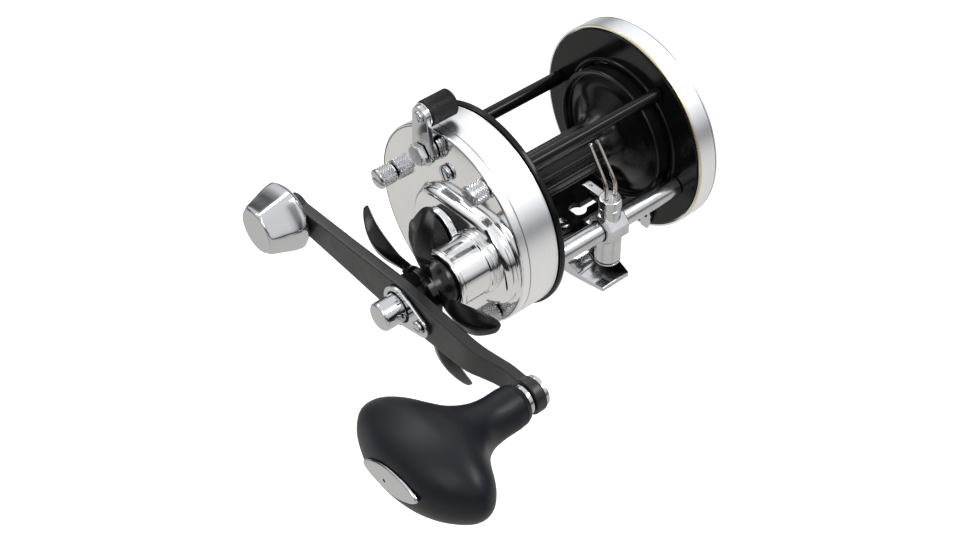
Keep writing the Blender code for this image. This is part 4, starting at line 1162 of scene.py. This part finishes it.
# What a mirror sees straight down (0), level (0.5) and straight up (1).
SKY_STOPS = ((0.0, (0.72, 0.705, 0.68)), (0.34, (0.70, 0.69, 0.67)), (0.45, (0.42, 0.42, 0.42)),
             (0.49, (0.03, 0.03, 0.03)), (0.51, (0.03, 0.03, 0.03)), (0.56, (0.34, 0.35, 0.37)),
             (0.66, (0.80, 0.81, 0.83)), (0.80, (1.02, 1.03, 1.05)), (1.0, (1.05, 1.07, 1.1)))
GAP_WIDTH = 0.42               # width, in a sine, of the dark gaps between the room's light panels
GAP_DARK = 0.12


class Room(Nodes):
    """The world's nodes: white for the camera; for light and reflections a room of light panels."""

    def __init__(self):
        world = bpy.data.worlds.new("studio")
        bpy.context.scene.world = world
        world.use_nodes = True
        super().__init__(world.node_tree)
        place = self.node("ShaderNodeTexCoord").outputs["Generated"]
        self.split = self.node("ShaderNodeSeparateXYZ", Vector=place)

    def height_colour(self):
        """The colour by height: table, dark horizon, ceiling."""
        level = self.math("MULTIPLY_ADD", self.split.outputs["Z"], 0.5, 0.5)
        ramp = self.tree.nodes.new("ShaderNodeValToRGB")
        elements = ramp.color_ramp.elements
        while len(elements) < len(SKY_STOPS):
            elements.new(0.5)
        for element, (at, colour) in zip(elements, SKY_STOPS):
            element.position = at
            element.color = (*colour, 1.0)
        self.tree.links.new(level, ramp.inputs["Fac"])
        return ramp.outputs["Color"]

    def panel_gaps(self):
        """Dark upright gaps at four sides, fading out towards the ceiling and the table."""
        turn = self.math("ARCTAN2", self.split.outputs["Y"], self.split.outputs["X"])
        wave = self.math("ABSOLUTE", self.math("SINE", self.math("MULTIPLY", turn, 2.0)))
        gap = self.spread(wave, 0.0, GAP_WIDTH, GAP_DARK, 1.0, "SMOOTHSTEP")
        steepness = self.math("ABSOLUTE", self.split.outputs["Z"])
        steep = self.spread(steepness, 0.45, 0.75, 0.0, 1.0, "SMOOTHSTEP")
        return self.math("MAXIMUM", gap, steep)


def build_world():
    room = Room()
    panels = room.tree.nodes["Background"]
    room.feed(panels.inputs["Color"], room.height_colour())
    room.feed(panels.inputs["Strength"], room.panel_gaps())
    seen = room.node("ShaderNodeBackground", Color=(1.0, 1.0, 1.0, 1.0))
    mix = room.node("ShaderNodeMixShader", Fac=room.node("ShaderNodeLightPath").outputs["Is Camera Ray"])
    room.feed(mix.inputs[1], panels.outputs["Background"])
    room.feed(mix.inputs[2], seen.outputs["Background"])
    room.feed(room.tree.nodes["World Output"].inputs["Surface"], mix.outputs["Shader"])


def area_light(name, at, target, size, power):
    data = bpy.data.lights.new(name, "AREA")
    data.shape = "RECTANGLE"
    data.size, data.size_y = size
    data.energy = power
    made = bpy.data.objects.new(name, data)
    made.location = at
    made.rotation_euler = (Vector(target) - Vector(at)).to_track_quat("-Z", "Y").to_euler()
    bpy.context.scene.collection.objects.link(made)


def build_lights():
    middle = (0.03, 0.01, 0.03)
    area_light("top_softbox", (-0.35, 0.55, 0.95), middle, (0.75, 0.35), 6.0)
    area_light("back_softbox", (0.1, -0.8, 0.8), middle, (0.9, 0.3), 3.0)
    area_light("side_softbox", (0.9, 0.1, 0.5), middle, (0.3, 0.6), 2.0)


def build_camera():
    data = bpy.data.cameras.new("camera")
    data.sensor_width = 36.0
    data.lens = 63.82
    data.clip_start = 0.01
    camera = bpy.data.objects.new("camera", data)
    right = Vector((-0.76256, 0.64687, -0.00795))
    up = Vector((-0.45119, -0.52300, 0.72311))
    back = right.cross(up)
    turn = Matrix((right, up, back)).transposed().to_4x4()
    place = Matrix.Translation((0.27113, 0.29222, 0.33465 + AXIS_HEIGHT))
    camera.matrix_world = place @ turn
    bpy.context.scene.collection.objects.link(camera)
    bpy.context.scene.camera = camera


for build in (build_rings, build_left_side, build_gear_cover, build_frame_bars, build_crossbar, build_foot,
              build_clamp_ear, build_spool, build_carriage, build_guide_wires, build_arm, build_shaft_end,
              build_counterweight, build_grip, build_star, build_thumb_screws, build_cover_screw, build_lever,
              build_control_cap, carry_over):
    build()
build_stage()
build_world()
build_lights()
build_camera()
bpy.context.scene.view_settings.view_transform = "Standard"
